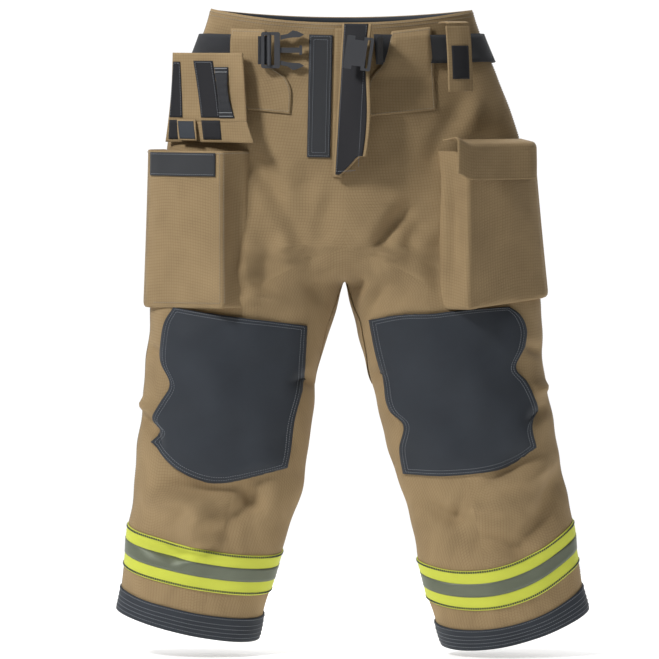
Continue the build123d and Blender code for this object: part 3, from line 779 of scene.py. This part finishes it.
END = float(np.arccos(0.07))
facing = joined_cloth("waist_facing", [
    cloth("facing_right", 80, 8, waist_strip(RIGHT, END, -END, 0.0015, 0.056, -0.0055), dark_cloth),
    cloth("facing_left", 80, 8, waist_strip(LEFT, END, -END, 0.0015, 0.056, -0.0055), dark_cloth)], 0.0006)
fitted(facing, 0.0018, 0, "reinforcing_fabric", "trousers",
       "right_waist_facing", "left_waist_facing", "back_waist_facing")

# ---------------------------------------------------------------- crotch gusset
# A second layer of the shell's cloth is let in along the inside of both thighs, where it wears.
for side, word in ((RIGHT, "right"), (LEFT, "left")):

    def gusset_place(s, t, side=side):
        z = -0.415 - 0.215 * t
        spread = np.sin(pi * (0.06 + 0.88 * t)) * radians(28)
        phi = pi + (2 * s - 1) * spread + radians(12)
        return shell_point(side, phi, np.minimum(z, height_of_split(-np.cos(phi)) - 0.002), 0.0012)

    gusset = cloth(word + "_gusset", 26, 40, gusset_place, shell_cloth)
    fitted(gusset, 0.0012, 1, "reinforcing_fabric", "trousers", word + "_crotch_gusset")

# ---------------------------------------------------------------- fly
# A long strip of loop tape on the right front, the shield behind the opening, and the storm flap: tan cloth
# faced with a wide strip of hook tape, sewn at the waist and folded open to the left.


def tape_finish(name, base, fuzz):
    """Hook or loop tape: a pile of tiny loops, seen as a fine mottled nap."""
    made, tree, skin = new_material(name)
    nap = noise_at(tree, tree.nodes.new("ShaderNodeUVMap").outputs["UV"], fuzz, 6)
    nap_colour = mixed(tree, nap, [c * 0.6 for c in base], [c * 1.5 for c in base])
    link(tree, nap_colour, skin.inputs["Base Color"])
    give(skin, Roughness=0.95, Sheen_Weight=0.06)
    raise_by(tree, skin, nap, 0.6, 0.0008)
    return made


loop_tape = tape_finish("loop_tape", (0.036, 0.038, 0.042), 900)
hook_tape = tape_finish("hook_tape", (0.015, 0.015, 0.018), 1200)
fly_fill = four_sided([(-62, -15), (-21, -16)], [(-66, -228), (-26, -229)],
                      [(-62, -15), (-66, -228)], [(-21, -16), (-26, -229)])
fly_strip = cloth("fly_loop_tape", 14, 60, laid(fly_fill, 0.0026), loop_tape)
fitted(fly_strip, 0.0020, -1, "loop_tape", "trousers", "fly_loop_strip")
stitches("fly_strip_stitches", edge_rows(fly_fill, (0.003, 0.0085), (0.041, 0.213), 0.0030), grey_thread,
         "trousers")
shield_fill = four_sided([(-17, -4), (-2, -4)], [(-22, -262), (-5, -264)],
                         [(-17, -4), (-22, -262)], [(-2, -4), (-5, -264)])
shield = cloth("fly_shield_cloth", 5, 60, laid(shield_fill, 0.0035), shell_cloth)
fitted(shield, 0.0028, -1, "shell_fabric", "trousers", "fly_shield")

HINGE_TOP, HINGE_LOW = Vector((-0.004, -0.104, 0.004)), Vector((-0.020, -0.120, -0.262))
hinge_way = (HINGE_LOW - HINGE_TOP).normalized()
flap_across = Vector((cos(radians(38)), -sin(radians(38)), 0))
flap_across = (flap_across - hinge_way * flap_across.dot(hinge_way)).normalized()
flap_out = flap_across.cross(hinge_way).normalized()
if flap_out.y > 0:
    flap_out = -flap_out
FLAP_RUN = (HINGE_LOW - HINGE_TOP).length


def storm(lift, near, far, start=0.0, end=1.0, point=0.045):
    """The storm flap: its long free edge bows out and its lower corner is cut back."""

    def place(s, t):
        f = start + (end - start) * t
        bow = 0.006 * np.sin(pi * f) - 0.004 * np.sin(2 * pi * f)
        width = near + (far + bow - near) * s
        slack = 0.004 * np.sin(pi * s) * np.sin(pi * f * 1.4) + 0.0015 * np.sin(9 * f) * s
        cut = np.clip((s - 0.15) / 0.85, 0, 1) * point * np.clip((f - 0.86) / 0.14, 0, 1)
        base = np.array(HINGE_TOP) + np.outer(f * FLAP_RUN - cut, hinge_way)
        return base + np.outer(width, flap_across) + np.outer(lift + slack, flap_out)

    return place


storm_cloth = cloth("storm_flap", 20, 70, storm(0.0008, 0.001, 0.064), shell_cloth)
thicken(storm_cloth, 0.0022, 0)
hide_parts("storm_flap_head", "storm_flap_cloth")
storm_tape = cloth("storm_flap_tape", 16, 70, storm(0.0028, 0.0062, 0.0578, 0.0, 0.985), hook_tape)
thicken(storm_tape, 0.0016, 0)
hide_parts("storm_flap_hook_strip")
storm_runs = [(0.0086, 0.01, 0.0086, 0.97), (0.0555, 0.01, 0.0555, 0.93), (0.0112, 0.965, 0.050, 0.955)]
storm_rows = placed_rows(storm(0.0039, 0.0, 1.0), storm_runs)
storm_stitches = stitches("storm_flap_stitches", storm_rows, grey_thread, None)
for piece in (storm_cloth, storm_tape, storm_stitches):
    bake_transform(piece)

# ---------------------------------------------------------------- belt
# Flat ribbed webbing runs round the waist through a sewn patch on each side of the fly and four loops
# at the back.
webbing = cloth_finish("belt_webbing", (0.046, 0.048, 0.054), (0.026, 0.027, 0.031), grid=0.0016, thread=0.0008,
                       roughness=0.7, bump=0.8, sheen=0.05, shade=0.08)


def belt_place(side, first, last, lift=0.0068):
    def place(s, t):
        phi = first + (last - first) * s
        z = -0.0145 - 0.049 * t + 0.0012 * np.sin(phi * 5)
        return shell_point(side, phi, z, lift, creased=False)

    return place


def angle_at(side, x):
    """The angle on the front whose point lies this far out, near the belt's height."""
    outer = 0.252 if side == RIGHT else 0.245
    return float(np.arccos((abs(x) + 0.025) / (outer + 0.025)))


belt = joined_cloth("belt", [
    cloth("belt_right", 90, 6, belt_place(RIGHT, angle_at(RIGHT, 0.150), -END), webbing),
    cloth("belt_left", 90, 6, belt_place(LEFT, angle_at(LEFT, 0.046), -END), webbing)], 0.0006)
fitted(belt, 0.0025, 0, "belt_webbing", "trousers", "belt_webbing")

TUNNEL = {
    "right": ([(-197, -5), (-139, -7)], [(-171, -146), (-95, -153)],
              [(-197, -5), (-199, -50), (-187, -110), (-171, -146)],
              [(-139, -7), (-121, -78), (-105, -88), (-96, -104), (-95, -153)]),
    "left": ([(81, -10), (148, -2)], [(40, -158), (159, -146)],
             [(81, -10), (62, -69), (42, -95), (40, -158)], [(148, -2), (154, -70), (159, -146)]),
}
for word, lines in TUNNEL.items():
    fill = four_sided(*lines)

    def tunnel_place(s, t, fill=fill):
        flat = fill(s, t)
        edge = np.clip(np.minimum(np.minimum(s, 1 - s) / 0.12, np.minimum(t, 1 - t) / 0.10), 0, 1)
        over = np.clip(1 - np.abs(flat[:, 1] + 0.039) / 0.05, 0, 1)
        lift = 0.0018 + 0.0088 * np.clip(over * 1.6, 0, 1) * (0.35 + 0.65 * edge)
        return [on_shell(x, z, l) for (x, z), l in zip(flat, lift)]

    tunnel = cloth(word + "_belt_patch", 30, 40, tunnel_place, shell_cloth)
    fitted(tunnel, 0.0016, 1, "shell_fabric", "trousers", word + "_belt_tunnel")
    tunnel_tree = rays_on(tunnel)
    rows = []
    for line in edge_rows(fill, (0.0035,), (0.09, 0.14), 0.003):
        hits = [tunnel_tree.ray_cast(Vector((p[0], -0.5, p[2])), Vector((0, 1, 0)))[0] for p in line]
        rows.append([h + Vector((0, -0.0019, 0)) for h in hits if h is not None])
    stitches(word + "_belt_patch_stitches", [r for r in rows if len(r) > 2], tan_thread, "trousers")

loop_pieces = []
for centre in (-0.170, -0.057, 0.057, 0.170):
    side = RIGHT if centre < 0 else LEFT
    middle = -angle_at(side, centre)
    half = 0.019 / 0.25

    def loop_place(s, t, side=side, middle=middle, half=half):
        phi = middle + (2 * s - 1) * half
        z = -0.001 - 0.077 * t
        bulge = np.clip(1 - (np.abs(t - 0.5) / 0.42) ** 6, 0, 1)
        return shell_point(side, phi, z, 0.0015 + 0.0085 * bulge, creased=False)

    loop_pieces.append(cloth("belt_loop", 8, 22, loop_place, shell_cloth))
loops = joined_cloth("back_loops", loop_pieces)
fitted(loops, 0.0020, 1, "shell_fabric", "trousers", "back_belt_loops")

# ---------------------------------------------------------------- cargo pockets
# Each pocket is a deep bag on the side of the thigh: a flat face turned half forward, bellows sides,
# and a bottom that hangs full. A strip of loop tape runs under its mouth.
SLANT = radians(35.2)
POCKET_TOP, POCKET_LOW = -0.2162, -0.491
pocket_plan = np.array([(0.164, -0.080), (0.172, -0.099), (0.210, -0.131), (0.214, -0.1335), (0.220, -0.129),
                        (0.330, -0.051), (0.345, -0.034), (0.351, -0.010), (0.349, 0.046), (0.318, 0.062)])
plan_steps = np.concatenate([[0], np.cumsum(np.linalg.norm(np.diff(pocket_plan, axis=0), axis=1))])


def pocket_place(side):
    """The pocket's cloth, from its bottom seam on the leg, out along the bottom and up to the mouth."""

    def place(s, t):
        walk = s * plan_steps[-1]
        x = np.interp(walk, plan_steps, pocket_plan[:, 0])
        y = np.interp(walk, plan_steps, pocket_plan[:, 1])
        bottom = t < 0.16
        out_share = np.clip(t / 0.16, 0, 1)
        rise = np.clip((t - 0.16) / 0.84, 0, 1)
        full = 1 + (0.035 if side == RIGHT else 0.045) * (1 - rise) ** 1.5
        x, y = 0.230 + (x - 0.230) * full, y * full
        x = x - (0.019 if side == LEFT else 0.005) * np.clip((x - 0.27) / 0.08, 0, 1) * rise
        leg_x, leg_y = 0.235 + (x - 0.235) * 0.62, y * 0.55
        z = POCKET_LOW + (POCKET_TOP - POCKET_LOW) * rise
        round_off = 0.010 * (1 - np.sqrt(np.clip(1 - (1 - np.clip(rise / 0.045, 0, 1)) ** 2, 0, 1)))
        x = np.where(bottom, leg_x + (x - leg_x) * out_share, x)
        y = np.where(bottom, leg_y + (y - leg_y) * out_share, y)
        face = np.clip(1 - np.abs(s - 0.46) / 0.22, 0, 1)
        sag = 0.006 * face * np.sin(pi * np.clip(rise, 0, 1))
        sag += 0.004 * face * np.sin(pi * rise * 2.3 + 6 * s) * (rise > 0)
        gusset = np.exp(-((s - 0.13) / 0.05) ** 2) * (0.012 * np.sin(pi * rise))
        x = x + sag * sin(SLANT) + gusset * 0.4
        y = y - sag * cos(SLANT) + gusset
        tilt = (0.010 if side == LEFT else -0.002) * np.clip((s - 0.2) * 2, 0, 1) * (1 - rise)
        z = z + np.where(bottom, 0.004 * (1 - out_share), 0) + tilt * 1.6
        return np.stack([side * (x - round_off * 0.3 * np.sign(x - 0.230)), y, z], 1)

    return place


pocket_trees = {}
for side, word in ((RIGHT, "right"), (LEFT, "left")):
    pocket = cloth(word + "_pocket", 92, 76, pocket_place(side), shell_cloth)
    pocket_bm = bmesh.new()
    pocket_bm.from_mesh(pocket.data)
    smoothed(pocket_bm, pocket_bm.verts)
    pocket_bm.to_mesh(pocket.data)
    pocket_bm.free()
    fitted(pocket, 0.0024, side, "shell_fabric", "trousers", word + "_cargo_pocket")
    pocket_trees[side] = rays_on(pocket)

POCKET_CORNER = float(plan_steps[3] / plan_steps[-1])
for side, word in ((RIGHT, "right"), (LEFT, "left")):
    bag = pocket_place(side)
    near, far = POCKET_CORNER - 0.012, POCKET_CORNER + 0.014
    runs = [(far, 0.19, far, 0.985), (near, 0.19, near, 0.985), (far, 0.19, 0.62, 0.19), (0.70, 0.19, 0.70, 0.98)]
    rows = [(line, 0.0012) for line in placed_rows(bag, runs)]
    rows.append((bag(np.linspace(0.02, 0.98, 150), np.full(150, 0.985)), 0.0014))
    lines = [[Vector(p) + Vector((p[0] - side * 0.22, p[1], 0)).normalized() * proud for p in line]
             for line, proud in rows]
    stitches(word + "_pocket_stitches", lines, tan_thread, "trousers")

slant_out = {side: Vector((side * sin(SLANT), -cos(SLANT), 0)) for side in (RIGHT, LEFT)}
slant_along = {side: Vector((side * cos(SLANT), sin(SLANT), 0)) for side in (RIGHT, LEFT)}


def on_face(side, along, out, z):
    """A point by its place along a pocket's face, its distance out of it, and its height, as arrays."""
    a, o = np.array(slant_along[side]), np.array(slant_out[side])
    return along[:, None] * a + out[:, None] * o + z[:, None] * np.array((0, 0, 1.0))


for side, word in ((RIGHT, "right"), (LEFT, "left")):

    def strip_place(s, t, side=side):
        length = 0.147 if side == RIGHT else 0.112
        flat = on_face(side, 0.111 + length * s, np.full_like(s, 0.5), -0.2205 - 0.041 * t)
        spots = []
        for p in flat:
            hit, normal, _, _ = pocket_trees[side].ray_cast(Vector(p), -slant_out[side])
            spots.append((hit if hit else Vector(p) - slant_out[side] * 0.268) + slant_out[side] * 0.0016)
        return spots

    strip = cloth(word + "_pocket_tape", 30, 10, strip_place, loop_tape)
    fitted(strip, 0.0018, 0, "loop_tape", "trousers", word + "_pocket_loop_strip")
    edge = [strip_place(np.linspace(0.02, 0.98, 40), np.full(40, v)) for v in (0.08, 0.92)]
    edge = [[Vector(p) + slant_out[side] * 0.0012 for p in line] for line in edge]
    stitches(word + "_pocket_tape_stitches", edge, grey_thread, "trousers")

# ---------------------------------------------------------------- right flap
# The right pocket's flap stands open against the hip, showing its underside: two strips of hook tape, an
# elastic strap bowed off the cloth, and a short pull tab hanging from the fold.
HINGE_OUT, HINGE_HEIGHT, ROOT = 0.203, -0.203, 0.042
LEAN, FLAP_LENGTH = radians(7), 0.157


def open_flap(along, rise, proud):
    """Points of the open flap, along its hinge, up its length and out of its surface."""
    out = HINGE_OUT - rise * sin(LEAN) + proud * cos(LEAN)
    z = HINGE_HEIGHT + rise * cos(LEAN) + proud * sin(LEAN)
    return on_face(RIGHT, along, out, z)


def flap_curve(along, rise):
    """The open flap isn't flat: its corners curl and its middle is hollow."""
    a = (along - 0.155) / 0.09
    share = np.clip(rise / FLAP_LENGTH, 0, 1)
    return 0.0015 + 0.0040 * a**2 * share - 0.0030 * np.sin(pi * share) * (1 - a**2)


def flap_place(first, last):
    def place(s, t):
        rise = first + (last - first) * t
        share = rise / FLAP_LENGTH
        near = 0.049 + 0.012 * np.clip(rise / 0.035, 0, 1) + 0.025 * share
        far = 0.240 - 0.004 * share - 0.003 * np.sin(pi * share)
        along = near + (far - near) * s
        return open_flap(along, rise, flap_curve(along, rise))

    return place


def tape_place(corners, lift, waist=0.0):
    """A strip on the open flap, between its two lower and two upper corners in (along, rise)."""

    def place(s, t):
        low_near, low_far, high_far, high_near = [np.array(c) / 1000 for c in corners]
        s = 0.5 + (s - 0.5) * (1 - waist * np.sin(pi * t))
        along, rise = (np.outer(low_near, (1 - s) * (1 - t)) + np.outer(low_far, s * (1 - t))
                       + np.outer(high_far, s * t) + np.outer(high_near, (1 - s) * t))
        return open_flap(along, rise, flap_curve(along, rise) + lift(s, t))

    return place


def flat_lift(height):
    return lambda s, t: np.full_like(s, height)


def bowed_lift(height, ripple):
    return lambda s, t: height + 0.0055 * np.sin(pi * t) + ripple * np.sin(40 * t)


OUTER_TAPE = [(207, 43.5), (234, 43.5), (233, 141), (219, 141)]
MIDDLE_TAPE = [(126, 43.5), (167, 43.5), (191, 143), (150, 143)]
STRAP = [(94, 43), (127, 43), (146, 132), (115, 132)]
ROOT_TAPES = [[(200, 5), (233, 5), (234, 38.5), (206, 38.5)], [(118, 5), (157, 5), (166, 38.5), (126, 38.5)]]
FLAP_FOLD = 0.036
on_tape = flat_lift(0.0021)
root_cloth = cloth("right_flap_root_cloth", 44, 10, flap_place(0.0, FLAP_FOLD), shell_cloth)
face_cloth = cloth("right_flap_face_cloth", 44, 32, flap_place(FLAP_FOLD, FLAP_LENGTH), shell_cloth)
outer_tape = cloth("right_flap_outer_tape", 8, 26, tape_place(OUTER_TAPE, on_tape), hook_tape)
middle_tape = cloth("right_flap_middle_tape", 9, 26, tape_place(MIDDLE_TAPE, on_tape), hook_tape)
strap = cloth("right_flap_strap", 8, 26, tape_place(STRAP, bowed_lift(0.0018, 0.0008), 0.28), webbing)
root_tapes = joined_cloth("right_flap_root_tapes", [
    cloth("root_tape", 8, 6, tape_place(corners, on_tape), hook_tape) for corners in ROOT_TAPES])
for piece, thick, nodes, slot_name in (
    (root_cloth, 0.0028, ["right_flap_root"], "shell_fabric"),
    (face_cloth, 0.0028, ["right_flap_face"], "shell_fabric"),
    (outer_tape, 0.0016, ["right_flap_outer_strip"], "hook_tape"),
    (middle_tape, 0.0016, ["right_flap_middle_strip"], "hook_tape"),
    (strap, 0.0018, ["right_flap_elastic_strap"], "elastic"),
    (root_tapes, 0.0014, ["right_flap_root_strips"], "hook_tape"),
):
    thicken(piece, thick, 0)
    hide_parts(*nodes)


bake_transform(root_cloth)
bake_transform(face_cloth)
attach(root_tapes, "right_flap_root")
for piece in (outer_tape, middle_tape, strap):
    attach(piece, "right_flap_face")
over_strap = tape_place(STRAP, bowed_lift(0.0038, 0.0))
strap_rows = [over_strap(np.linspace(0.05, 0.95, 12), np.full(12, v)) for v in (0.03, 0.10, 0.90, 0.97)]
stitches("strap_bar_tacks", strap_rows, thread_finish("pale_thread", (0.42, 0.44, 0.46)), "right_flap_face",
         thick=0.0007, pitch=0.0026)
tape_rows = []
for corners in (OUTER_TAPE, MIDDLE_TAPE):
    over_tape = tape_place(corners, flat_lift(0.0034))
    tape_rows += [over_tape(np.full(40, share), np.linspace(0.03, 0.97, 40)) for share in (0.08, 0.92)]
    tape_rows.append(over_tape(np.linspace(0.08, 0.92, 12), np.full(12, 0.97)))
stitches("right_flap_tape_stitches", tape_rows, grey_thread, "right_flap_face")
tab_top = open_flap(np.array([0.196]), np.array([0.039]), np.array([0.0050]))[0]
tab_fall = Vector((0, 0, -1)) * cos(radians(19)) + slant_out[RIGHT] * sin(radians(19))


def tab_place(lift, inset):
    def place(s, t):
        along = (-0.020 + inset + (0.040 - 2 * inset) * s) - 0.012 * t
        fall = -0.0005 + inset + (0.0385 - 2 * inset) * t
        bow = 0.0008 * np.sin(pi * t) + lift
        across = np.array(tab_top) + np.outer(along, slant_along[RIGHT])
        return across + np.outer(fall, tab_fall) + np.outer(bow, slant_out[RIGHT])

    return place


tab = cloth("pull_tab", 10, 12, tab_place(0.0, 0.0), shell_cloth)
tab_face = cloth("pull_tab_face", 10, 12, tab_place(0.0013, 0.003), dark_cloth)
for piece, thick in ((tab, 0.0018), (tab_face, 0.0008)):
    thicken(piece, thick, 0)
    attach(piece, "pull_tab")
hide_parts("flap_pull_tab")

# ---------------------------------------------------------------- left flap
# The left pocket's flap is closed: a short root over the pocket's mouth and a face hanging down in front,
# with its near end curled open.
DROP, CLOSED = radians(8), 0.062


def closed_flap(s_first, s_last):
    """The closed flap in one cloth: out along the root, round the fold and down the face."""

    def place(s, t):
        walk = s_first + (s_last - s_first) * t
        along = 0.062 + 0.178 * s
        bend = 0.008
        on_root = walk < ROOT - bend
        turn = np.clip((walk - (ROOT - bend)) / (2 * bend), 0, 1) * (pi / 2 - DROP)
        radius = 2 * bend / (pi / 2 - DROP)
        flat_run = np.minimum(walk, ROOT - bend)
        root_out, root_z = HINGE_OUT + flat_run * cos(DROP), HINGE_HEIGHT - flat_run * sin(DROP)
        heading = DROP + turn
        bend_out = radius * (np.sin(heading) - sin(DROP))
        bend_z = -radius * (cos(DROP) - np.cos(heading))
        down = np.clip(walk - (ROOT + bend), 0, 1)
        out = root_out + np.where(on_root, 0, bend_out) + 0.0035
        z = root_z + np.where(on_root, 0, bend_z) - down + 0.0045
        curl = 0.012 * np.exp(-(s / 0.10) ** 2)
        z = z + curl * np.clip(walk / ROOT, 0, 1)
        out = out + 0.0030 * np.sin(pi * s * 2.2 + 0.4) * np.clip(walk / (ROOT + 0.03), 0, 1)
        out = out - 0.012 * np.clip((s - 0.86) / 0.14, 0, 1) ** 2
        return on_face(LEFT, along, out, z)

    return place


left_root = cloth("left_flap_root_cloth", 46, 12, closed_flap(0.0, 0.030), shell_cloth)
left_face = cloth("left_flap_face_cloth", 46, 30, closed_flap(0.030, ROOT + CLOSED - 0.001), shell_cloth)
for piece in (left_root, left_face):
    thicken(piece, 0.0028, 0)
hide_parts("left_flap_root")
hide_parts("left_flap_face")


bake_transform(left_root)
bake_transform(left_face)


def hook_place(s, t):
    return on_face(LEFT, 0.112 + 0.120 * s, np.full_like(s, 0.2440), -0.2235 - 0.037 * t)


left_hooks = cloth("left_flap_tape", 24, 8, hook_place, hook_tape)
fitted(left_hooks, 0.0014, 0, "hook_tape", "left_flap_face", "left_flap_hook_strip")

# ---------------------------------------------------------------- keeper tab
# A tan tab on the left hip hangs over the belt and holds its end, with a patch of hook tape on it.
TURN = radians(26)
keeper_out = np.array((sin(TURN), -cos(TURN), 0))
keeper_along = np.array((cos(TURN), sin(TURN), 0))


def keeper_place(first, last, top, low, lift):
    def place(s, t):
        across, z = (first + (last - first) * s) / 1000, (top + (low - top) * t) / 1000
        along = 0.130 + across - 0.05 * z
        bow = lift + 0.0020 * np.sin(pi * z / -0.114) + 0.0010 * np.cos(pi * across / 0.024)
        return np.outer(along, keeper_along) + np.outer(0.183 + bow, keeper_out) + np.outer(z, (0, 0, 1.0))

    return place


keeper = cloth("keeper_tab", 14, 34, keeper_place(-25, 22, 0, -114, 0.0013), shell_cloth)
keeper_patch = cloth("keeper_tab_tape", 10, 18, keeper_place(-17, 15, -34, -92, 0.0034), hook_tape)
fitted(keeper, 0.0026, 0, "shell_fabric", "keeper_tab", "keeper_tab_cloth")
fitted(keeper_patch, 0.0014, 0, "hook_tape", "keeper_tab", "keeper_tab_hook_patch")


def bridge_place(s, t):
    out = 0.150 + 0.034 * t
    along, z = 0.130 + (-22 + 42 * s) / 1000, 0.0045 + 0.002 * np.sin(pi * t)
    return np.outer(along, keeper_along) + np.outer(out, keeper_out) + np.outer(z, (0, 0, 1.0))


bridge = cloth("keeper_bridge", 12, 10, bridge_place, shell_cloth)
fitted(bridge, 0.0028, 0, "shell_fabric", "trousers", "keeper_tab_base")

# ---------------------------------------------------------------- buckle
# A side-release buckle of moulded black plastic, undone: the plug with its two sprung prongs on the right,
# the socket on the left, each on the end of its webbing.
plastic, plastic_tree, plastic_skin = new_material("moulded_plastic")
plastic_place = plastic_tree.nodes.new("ShaderNodeTexCoord").outputs["Object"]
plastic_grain = noise_at(plastic_tree, plastic_place, 1400, 4)
plastic_tint = mixed(plastic_tree, plastic_grain, (0.058, 0.060, 0.067), (0.072, 0.074, 0.081))
link(plastic_tree, plastic_tint, plastic_skin.inputs["Base Color"])
give(plastic_skin, Roughness=0.42)
raise_by(plastic_tree, plastic_skin, plastic_grain, 0.15, 0.0004)
for node in ("buckle_plug", "upper_prong", "lower_prong", "buckle_socket"):
    for material_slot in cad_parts[node].material_slots:
        material_slot.material = plastic


def web_place(a, b, top, low, sag=0.0):
    """A stretch of webbing between two points seen from above."""

    def place(s, t):
        start, end = np.array(a), np.array(b)
        flat = start + (end - start) * s[:, None]
        side_way = np.array((-(end - start)[1], (end - start)[0]))
        side_way = side_way / np.linalg.norm(side_way)
        flat = flat + (sag * np.sin(pi * s))[:, None] * side_way
        return np.stack([flat[:, 0], flat[:, 1], top + (low - top) * t], 1)

    return place


plug_web = cloth("plug_webbing", 6, 14, web_place((-0.1515, -0.1040), (-0.1330, -0.1042), -0.0175, -0.0665),
                 webbing)
socket_web = cloth("socket_webbing", 14, 14,
                   web_place((0.0650, -0.1085), (0.0545, -0.1600), -0.0185, -0.0665, 0.004), webbing)
fitted(plug_web, 0.0024, 0, "belt_webbing", "buckle_plug", "plug_webbing_end")
fitted(socket_web, 0.0024, 0, "belt_webbing", "buckle_socket", "socket_webbing_end")

# ---------------------------------------------------------------- suspender buttons
# Eight pressed steel buttons, riveted through the facing.
steel, steel_tree, steel_skin = new_material("button_steel")
steel_grain = noise_at(steel_tree, steel_tree.nodes.new("ShaderNodeTexCoord").outputs["Object"], 700)
steel_tint = mixed(steel_tree, steel_grain, (0.42, 0.42, 0.43), (0.60, 0.60, 0.61))
link(steel_tree, steel_tint, steel_skin.inputs["Base Color"])
give(steel_skin, Metallic=1.0, Roughness=0.32)
for material_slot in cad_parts["suspender_buttons"].material_slots:
    material_slot.material = steel
